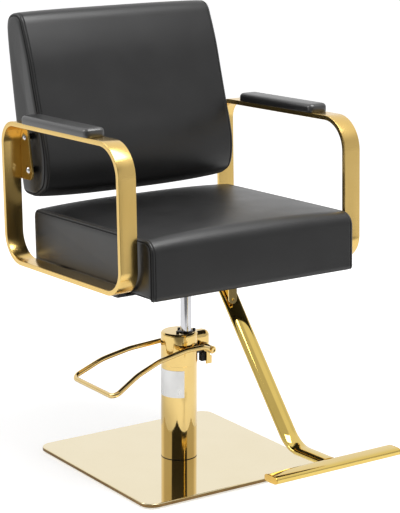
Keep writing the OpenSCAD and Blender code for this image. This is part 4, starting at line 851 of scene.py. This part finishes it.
# Past the last step, the fine net has evenly spaced rows over the middle of the wrap
MIDDLE_IN, MIDDLE_ROWS, FINE_ROUND = 34, 74, 220
COARSE_ROWS, COARSE_ROUND = 70, 150
COARSE_STEPS, COARSE_SHARES = np.array([4.0]), np.array([0.12, 0.25, 0.4, 0.6, 0.8, 1.0])
EDGE_R = 9.0
SEAM_IN, SEAM_DEEP, SEAM_WIDE, STITCH_IN = 1.2, 2.2, 1.2, 8
PANEL_REACH, PLACE_REACH, PANEL_PROUD = 50, 60, 1.6


class CushionNet:
    """One closed net over a cushion. Its rows run from the middle of the left side panel to its seam,
    across the wrap to the other seam and to the middle of the right panel; its columns go round the
    side view. place is each row's distance across, the same measure in a coarse and a fine net."""

    def __init__(self, outline, form, half, wrap, panel_steps, panel_shares, draw):
        self.outline, self.form, self.half, self.draw = outline, form, half, draw
        self.normal = outward(outline)
        self.middle = (outline.max(0) + outline.min(0)) / 2
        left = self.panel(-1, panel_steps, panel_shares)
        right = self.panel(1, panel_steps, panel_shares)
        self.seam_rows = (len(left), len(left) + len(wrap) - 1)
        self.points = np.concatenate([left[::-1], self.wrap(wrap), right])
        depth = half + np.concatenate([panel_steps, panel_steps[-1] + PLACE_REACH * panel_shares])
        self.place = np.concatenate([-depth[::-1], wrap, depth])
        self.gap = np.abs(np.abs(self.place) - (half - SEAM_IN))

    def wrap(self, x):
        """At distance x the side view draws in by a quarter circle of EDGE_R near each side."""
        u = np.clip(np.abs(x) - (self.half - EDGE_R), 0, None)
        inset = EDGE_R - np.sqrt(EDGE_R ** 2 - u ** 2)
        ring = self.outline[None] - self.normal[None] * inset[:, None, None]
        share = np.broadcast_to((x / self.half)[:, None], ring.shape[:2])
        return self.stack(x, self.form(share, ring))

    def panel(self, side, steps, shares):
        """Rings inset from the seam, then rings drawn towards the panel's middle. Across, the panel
        first stands a little proud of the seam, as a sine, and then draws in as a power of 1.3."""
        u = EDGE_R - SEAM_IN
        inset = EDGE_R - math.sqrt(EDGE_R ** 2 - u ** 2) + np.concatenate([[0], steps])
        ring = self.outline[None] - self.normal[None] * inset[:, None, None]
        inner = self.middle + (ring[-1] - self.middle) * (1 - shares)[:, None, None]
        ring = np.concatenate([ring[1:], inner])
        depth = np.concatenate([steps, steps[-1] + PANEL_REACH * shares])
        x = self.half - SEAM_IN + PANEL_PROUD * np.sin(np.clip(depth / 9, 0, 1) * np.pi / 2)
        x = x - self.draw * np.clip((depth - 4) / PANEL_REACH, 0, 1) ** 1.3
        share = np.full(ring.shape[:2], side, float)
        return self.stack(side * x, self.form(share, ring))

    def stack(self, x, flat):
        """Points of rings in the side view, each ring at its own distance across."""
        return np.concatenate([np.broadcast_to(x[:, None], flat.shape[:2])[..., None], flat], -1)

    def normals(self):
        """Cross product of the steps along rows and along columns, turned to point outwards."""
        down = np.gradient(self.points, axis=0)
        round_ = np.roll(self.points, -1, 1) - np.roll(self.points, 1, 1)
        normal = np.cross(down, round_)
        length = np.linalg.norm(normal, axis=2, keepdims=True)
        normal = normal / np.maximum(length, 1e-9)
        row = len(normal) // 2
        toward = self.points[row] - self.points[row].mean(0)
        return normal * np.sign((normal[row] * toward).sum())

    def faces(self):
        """Quads of the whole net."""
        rows, columns = self.points.shape[:2]
        return grid_faces(rows, columns, round_columns=True)


CLOTH = {
    "quality": 5, "mass": 0.25, "tension_stiffness": 18, "compression_stiffness": 18,
    "shear_stiffness": 8, "bending_stiffness": 1.2, "use_pressure": True,
    "uniform_pressure_force": 4.0, "shrink_min": -0.006,
}
CLOTH_FRAMES = 20


def swollen(net, held):
    """How far Blender's cloth moves each point of a coarse net when it is blown up a little from
    inside, with the held points kept and the cloth cut a little larger than the form."""
    shape = net.points.shape
    mesh = bpy.data.meshes.new("cloth")
    mesh.from_pydata((net.points.reshape(-1, 3) * MM).tolist(), [], net.faces())
    trial = bpy.data.objects.new("cloth", mesh)
    SCENE.collection.objects.link(trial)
    pins = trial.vertex_groups.new(name="held")
    pins.add(np.flatnonzero(held.reshape(-1)).tolist(), 1.0, "REPLACE")
    cloth = trial.modifiers.new("cloth", "CLOTH")
    for label, value in CLOTH.items():
        setattr(cloth.settings, label, value)
    cloth.settings.effector_weights.gravity = 0
    cloth.settings.vertex_group_mass = "held"
    cloth.point_cache.frame_start, cloth.point_cache.frame_end = 1, CLOTH_FRAMES
    for step in range(1, CLOTH_FRAMES + 1):
        SCENE.frame_set(step)
    ready = trial.evaluated_get(bpy.context.evaluated_depsgraph_get()).to_mesh()
    moved = np.empty(shape[0] * shape[1] * 3, np.float32)
    ready.vertices.foreach_get("co", moved)
    bpy.data.objects.remove(trial)
    SCENE.frame_set(1)
    return moved.reshape(shape) / MM - net.points


def smoothed(field, passes):
    """Each pass makes a point the mean of itself, twice, and its neighbours, first down, then round."""
    for _ in range(passes):
        padded = np.concatenate([field[:1], field, field[-1:]])
        field = (padded[:-2] + 2 * field + padded[2:]) / 4
        field = (np.roll(field, 1, 1) + 2 * field + np.roll(field, -1, 1)) / 4
    return field


def carried_over(field, coarse, fine):
    """A coarse net's field at a fine net's points: straight-line mixing by place, then round the
    side view, then one light smoothing."""
    columns, count = field.shape[1], fine.points.shape[1]
    by_row = np.stack([[np.interp(fine.place, coarse.place, field[:, j, k]) for j in range(columns)]
                       for k in range(3)], -1).transpose(1, 0, 2)
    at = np.arange(count) * columns / count
    low = np.floor(at).astype(int)
    share = (at - low)[None, :, None]
    ring = by_row[:, low] * (1 - share) + by_row[:, (low + 1) % columns] * share
    return smoothed(ring, 2)


def seam_valley(gap):
    """The narrow dip at a seam: a bell curve of the distance from it."""
    return -SEAM_DEEP * np.exp(-(gap / SEAM_WIDE) ** 2)


def seam_profile(gap, band):
    """Height of the cover near a side seam: the seam's dip, a lapped band beside it, which rises and
    falls as two logistic steps, and a shallow bell curve where the band is stitched down."""
    lap = band / (1 + np.exp(-(gap - 1.4) * 3)) / (1 + np.exp((gap - 6.8) * 3))
    stitched = -1.3 * np.exp(-(gap - STITCH_IN) ** 2)
    return seam_valley(gap) + lap + stitched


STITCH_PITCH, STITCH_L, STITCH_R = 4.4, 3.3, 0.42


def thread_rows(net, rows, skip):
    """Stitches along rows of a net: each is a spindle, a circle whose radius grows and falls as the
    square root of a sine along it, lying in the cover with its ends dipped. None is made where skip
    says that the cushion is out of sight."""
    normal = net.normals()
    t = np.linspace(0, 1, 6)
    a = np.linspace(0, 2 * np.pi, 6, endpoint=False)
    thick = STITCH_R * np.sqrt(np.sin(np.clip(t, 0.04, 0.96) * np.pi))[:, None]
    one = grid_faces(6, 6, round_columns=True) + end_faces(6, 6)
    parts = []
    for row in rows:
        line = np.vstack([net.points[row], net.points[row][:1]])
        up = np.vstack([normal[row], normal[row][:1]])
        run = np.concatenate([[0], np.cumsum(np.linalg.norm(np.diff(line, axis=0), axis=1))])
        places = np.arange(STITCH_PITCH / 2, run[-1] - STITCH_PITCH, STITCH_PITCH)
        mid, top, ahead = (np.stack([np.interp(at, run, a[:, k]) for k in range(3)], 1)
                           for at, a in ((places, line), (places, up), (places + 0.5, line)))
        keep = ~skip(mid)
        mid, top, ahead = mid[keep], top[keep], (ahead - mid)[keep]
        ahead /= np.linalg.norm(ahead, axis=1, keepdims=True)
        top /= np.linalg.norm(top, axis=1, keepdims=True)
        aside = np.cross(ahead, top)
        spine = (mid[:, None] + ahead[:, None] * ((t - 0.5) * STITCH_L)[None, :, None]
                 + top[:, None] * (0.45 * np.sin(t * np.pi) - 0.25)[None, :, None])
        rings = (spine[:, :, None] + aside[:, None, None] * (thick * np.cos(a))[None, :, :, None]
                 + top[:, None, None] * (thick * np.sin(a))[None, :, :, None])
        parts += [(stitch, one) for stitch in rings]
    return merged(*parts)


# How much of the cloth's broad swelling is kept, over how many passes broad is told from fine, and
# the furthest that a point may move
KEEP_BROAD, BROAD_PASSES, CAP = 0.25, 14, 5.0


def make_cushion(name, node, outline, form, half, draw, band, hold, skip):
    """Form, then the cloth's own fullness and creases on it, then the seams, then the stitches.
    draw is how far the side panels pull in, band how far the lapped band beside a seam stands up."""
    middle = np.linspace(-(half - MIDDLE_IN), half - MIDDLE_IN, MIDDLE_ROWS)
    side = half - SEAM_IN - WRAP_STEPS
    wrap = np.concatenate([-side, middle, side[::-1]])
    fine = CushionNet(evenly(outline, FINE_ROUND), form, half, wrap, PANEL_STEPS, PANEL_SHARES, draw)
    wrap = np.linspace(-half + SEAM_IN, half - SEAM_IN, COARSE_ROWS)
    coarse = CushionNet(evenly(outline, COARSE_ROUND), form, half, wrap, COARSE_STEPS, COARSE_SHARES,
                        draw)
    held = hold(coarse.points)
    for row in coarse.seam_rows:
        held[row] = True
    moved = swollen(coarse, held)
    broad = smoothed(moved, BROAD_PASSES)
    full = carried_over(broad * KEEP_BROAD + (moved - broad), coarse, fine)
    size = np.linalg.norm(full, axis=2, keepdims=True)
    fine.points = fine.points + full * CAP * np.tanh(size / CAP) / np.maximum(size, 1e-6)
    on_wrap = np.abs(fine.place) <= half
    height = np.where(on_wrap, seam_profile(fine.gap, band), seam_valley(fine.gap))
    normal = fine.normals()
    fine.points = fine.points + normal * height[:, None, None]
    # Painted shade mark: high in the seam's dip, along the wrap's stitch line and on faces that point down;
    # the leather turns nearly black there
    stitched = 0.8 * np.exp(-((fine.gap - STITCH_IN) / 1.1) ** 2)
    seams = np.exp(-(fine.gap / 1.6) ** 2) + np.where(on_wrap, stitched, 0)
    under = np.clip((-0.45 - normal[..., 2]) / 0.3, 0, 1)
    cushion = add_piece(name, fine.points, fine.faces(), FINISHES["upholstery"], "seat",
                        (node,), crease=75, in_seat=True,
                        painted_shade=np.clip(np.maximum(seams[:, None], under), 0, 1))
    lines = [side * (half - SEAM_IN - STITCH_IN) for side in (-1, 1)]
    rows = [int(np.argmin(np.abs(fine.place - x))) for x in lines]
    points, faces = thread_rows(fine, rows, skip)
    add_piece(name + "_stitches", points, faces, THREAD, "seat", crease=75, in_seat=True)


def cushions():
    """The cloth is held where a cushion rests on its board, and at the rear of the backrest."""
    make_cushion("seat_upholstery", "seat_cushion", seat_outline(), seat_form, SEAT_HALF,
                 draw=2.5, band=0.35, hold=lambda p: p[..., 2] < 4, skip=lambda p: p[:, 2] < 12)
    make_cushion("back_upholstery", "back_cushion", back_outline(), back_form, BACK_HALF,
                 draw=3.0, band=0.55, hold=lambda p: (p[..., 2] < 147) | (p[..., 1] > 300),
                 skip=lambda p: p[:, 2] < 145)


# ---------------------------------------------------------------- the rest of the frame

# Nodes shown as a deburred copy: the new piece's name, its body and its material slot
COPIES = {
    "head_cover": ("head_shell", "base", "polished_gold"),
    "gland_nut": ("ram_gland", "base", "black_steel"),
    "cover_screws": ("head_screws", "base", "black_steel"),
    "stop_tab": ("pedal_stop", "pedal", "polished_gold"),
    "stop_buffer": ("pedal_buffer", "base", "rubber"),
    "pedal_shaft_screws": ("shaft_screws", "pedal", "pedal_gold"),
    "back_bracket_left": ("back_plate_left", "seat", "satin_gold"),
    "back_bracket_right": ("back_plate_right", "seat", "satin_gold"),
    "back_screws": ("back_dome_screws", "seat", "chrome"),
    "footrest_bracket": ("footrest_mount", "seat", "polished_gold"),
    "mount_hub": ("seat_hub", "seat", "black_steel"),
    "mount_plate": ("seat_mount_plate", "seat", "black_steel"),
    "mount_bolts": ("seat_mount_bolts", "seat", "steel"),
    "arm_lugs": ("arm_lug_plates", "seat", "black_steel"),
    "base_feet": ("floor_pads", "base", "rubber"),
}


def rest_of_frame():
    """Copies stand for the nodes in the table; every other node keeps its own mesh and is given the
    finish of the material slot that the record names for it."""
    for node, (name, body, slot) in COPIES.items():
        copied_piece(name, node, FINISHES[slot], body)
    slot_of = {part["node"]: part["material_slot"] for part in frame["record"]["subparts"]}
    for node, piece in frame["nodes"].items():
        finish = FINISHES[slot_of[node]]
        if piece.material_slots:
            for place in piece.material_slots:
                place.material = finish
        else:
            piece.data.materials.append(finish)


# ---------------------------------------------------------------- room and lamps


FLOOR_HALF = 9.0
FRONT_LEFT, REAR_LEFT = (-0.563, -0.827, 0), (-0.563, 0.827, 0)
DARK_PATCH_AT = (1.15, -1.75, 0)
FLOOR_GREY, FLOOR_DARK = rgb(0.82, 0.82, 0.82), rgb(0.1, 0.1, 0.1)


def floor():
    """A pale floor that the camera, mirrors and glass see lifted to white, with the shadow kept. All
    distances are in metres. What mirrors see of it changes by place: it is dark in a wedge that
    starts 1.2 m out at the front left, and in a patch at the front right, and it is brighter far
    out at the rear left."""
    size = FLOOR_HALF
    mesh = bpy.data.meshes.new("floor")
    corners = [(-size, -size, 0), (size, -size, 0), (size, size, 0), (-size, size, 0)]
    mesh.from_pydata(corners, [], [(0, 1, 2, 3)])
    ground = bpy.data.objects.new("floor", mesh)
    SCENE.collection.objects.link(ground)
    material = bpy.data.materials.new("studio floor")
    material.use_nodes = True
    net = Net(material.node_tree)
    net.tree.nodes.remove(net.tree.nodes["Principled BSDF"])
    end = net.tree.nodes["Material Output"]
    rays = net.add("ShaderNodeLightPath").outputs
    here = net.here()
    way = net.add("ShaderNodeVectorMath", {0: here}, operation="NORMALIZE").outputs[0]
    wedge = net.math("MULTIPLY",
                     net.spread(net.measure("DOT_PRODUCT", here, FRONT_LEFT), 1.05, 1.2, 0.0, 1.0),
                     net.spread(net.measure("DOT_PRODUCT", way, FRONT_LEFT), 0.60, 0.72, 0.0, 1.0))
    patch = net.spread(net.measure("DISTANCE", here, DARK_PATCH_AT), 0.5, 0.8, 1.0, 0.0)
    pale = net.spread(net.highest(wedge, patch), 0.0, 1.0, 1.0, 0.12)
    rear = net.spread(net.measure("DOT_PRODUCT", here, REAR_LEFT), 2.65, 3.2, 0.5, 0.85)
    in_mirror = net.math("MULTIPLY", rays["Is Glossy Ray"], net.math("MULTIPLY", pale, rear))
    tint = net.blend(rays["Is Glossy Ray"], FLOOR_GREY, net.blend(pale, FLOOR_DARK, FLOOR_GREY))
    dull = net.add("ShaderNodeBsdfDiffuse", {"Color": tint})
    seen = net.highest(rays["Is Camera Ray"], rays["Is Transmission Ray"], in_mirror)
    out_from_chair = net.measure("LENGTH", here)
    strength = net.math("MULTIPLY", seen, net.spread(out_from_chair, 0.5, 1.6, 0.5, 0.62))
    lift = net.add("ShaderNodeEmission", {"Color": rgb(1, 1, 1), "Strength": strength})
    both = net.add("ShaderNodeAddShader", {0: dull.outputs[0], 1: lift.outputs[0]})
    net.feed(both.outputs[0], end.inputs["Surface"])
    mesh.materials.append(material)


ROOM_LEVEL = 0.5


def room():
    """The world: a plain grey level that lights the chair, and white where the camera, a mirror or
    glass looks at it. Mirrors also see a dark opening high up at the front left, darkest at its
    foot, and a low band that is a little grey all round but for the rear right."""
    world = bpy.data.worlds.new("room")
    SCENE.world = world
    world.use_nodes = True
    net = Net(world.node_tree)
    back = net.tree.nodes["Background"]
    way = net.add("ShaderNodeTexCoord").outputs["Generated"]
    height = net.add("ShaderNodeSeparateXYZ", {"Vector": way}).outputs["Z"]
    opening = net.math("MULTIPLY",
                       net.spread(net.measure("DOT_PRODUCT", way, (-0.35, -0.60, 0.72)), 0.62, 0.68, 0, 1),
                       net.spread(height, 0.02, 0.06, 0, 1))
    shade = net.spread(height, 0.35, 0.6, 0.03, 0.66)
    band = net.math("MULTIPLY",
                    net.spread(net.measure("DOT_PRODUCT", way, (-0.55, -0.83, 0)), -0.55, -0.25, 0.0, 0.36),
                    net.spread(height, 0.45, 0.65, 1.0, 0.0))
    mirror = net.math("ADD", net.math("MULTIPLY", opening, net.math("SUBTRACT", shade, 1.0)), 1.0)
    mirror = net.math("MINIMUM", mirror, net.math("SUBTRACT", 1.0, band))
    rays = net.add("ShaderNodeLightPath").outputs
    over_level = net.math("MULTIPLY", rays["Is Glossy Ray"], net.math("SUBTRACT", mirror, ROOM_LEVEL))
    strength = net.highest(net.math("ADD", over_level, ROOM_LEVEL), rays["Is Camera Ray"],
                           rays["Is Transmission Ray"])
    back.inputs["Color"].default_value = rgb(1, 1, 1)
    net.feed(strength, back.inputs["Strength"])


def lamp(name, at, toward, size, watts, mirrored=True):
    """A soft box, in metres: a lit rectangle at one point that faces another."""
    data = bpy.data.lights.new(name, "AREA")
    data.shape = "RECTANGLE"
    data.size, data.size_y = size
    data.energy = watts
    light = bpy.data.objects.new(name, data)
    light.location = at
    light.rotation_euler = (Vector(toward) - Vector(at)).to_track_quat("-Z", "Y").to_euler()
    light.visible_glossy = mirrored
    SCENE.collection.objects.link(light)


def lamps():
    """One box overhead, one at the rear left, and a weak one at the front right that mirrors miss."""
    lamp("overhead box", (0.36, -0.8, 2.9), (0, 0, 0.6), (1.5, 1.5), 50)
    lamp("rear left box", (-2.0, 1.4, 2.4), (0, 0.2, 0.7), (1.2, 1.4), 24)
    lamp("front right box", (1.3, -1.7, 3.1), (0, 0.1, 0.8), (1.6, 1.6), 12, mirrored=False)


base_plate()
column()
rod()
pedal_loop()
return_spring()
arm_loops()
arm_pads()
footrest()
cushions()
rest_of_frame()
floor()
room()
lamps()

SCENE.view_settings.view_transform = "Standard"
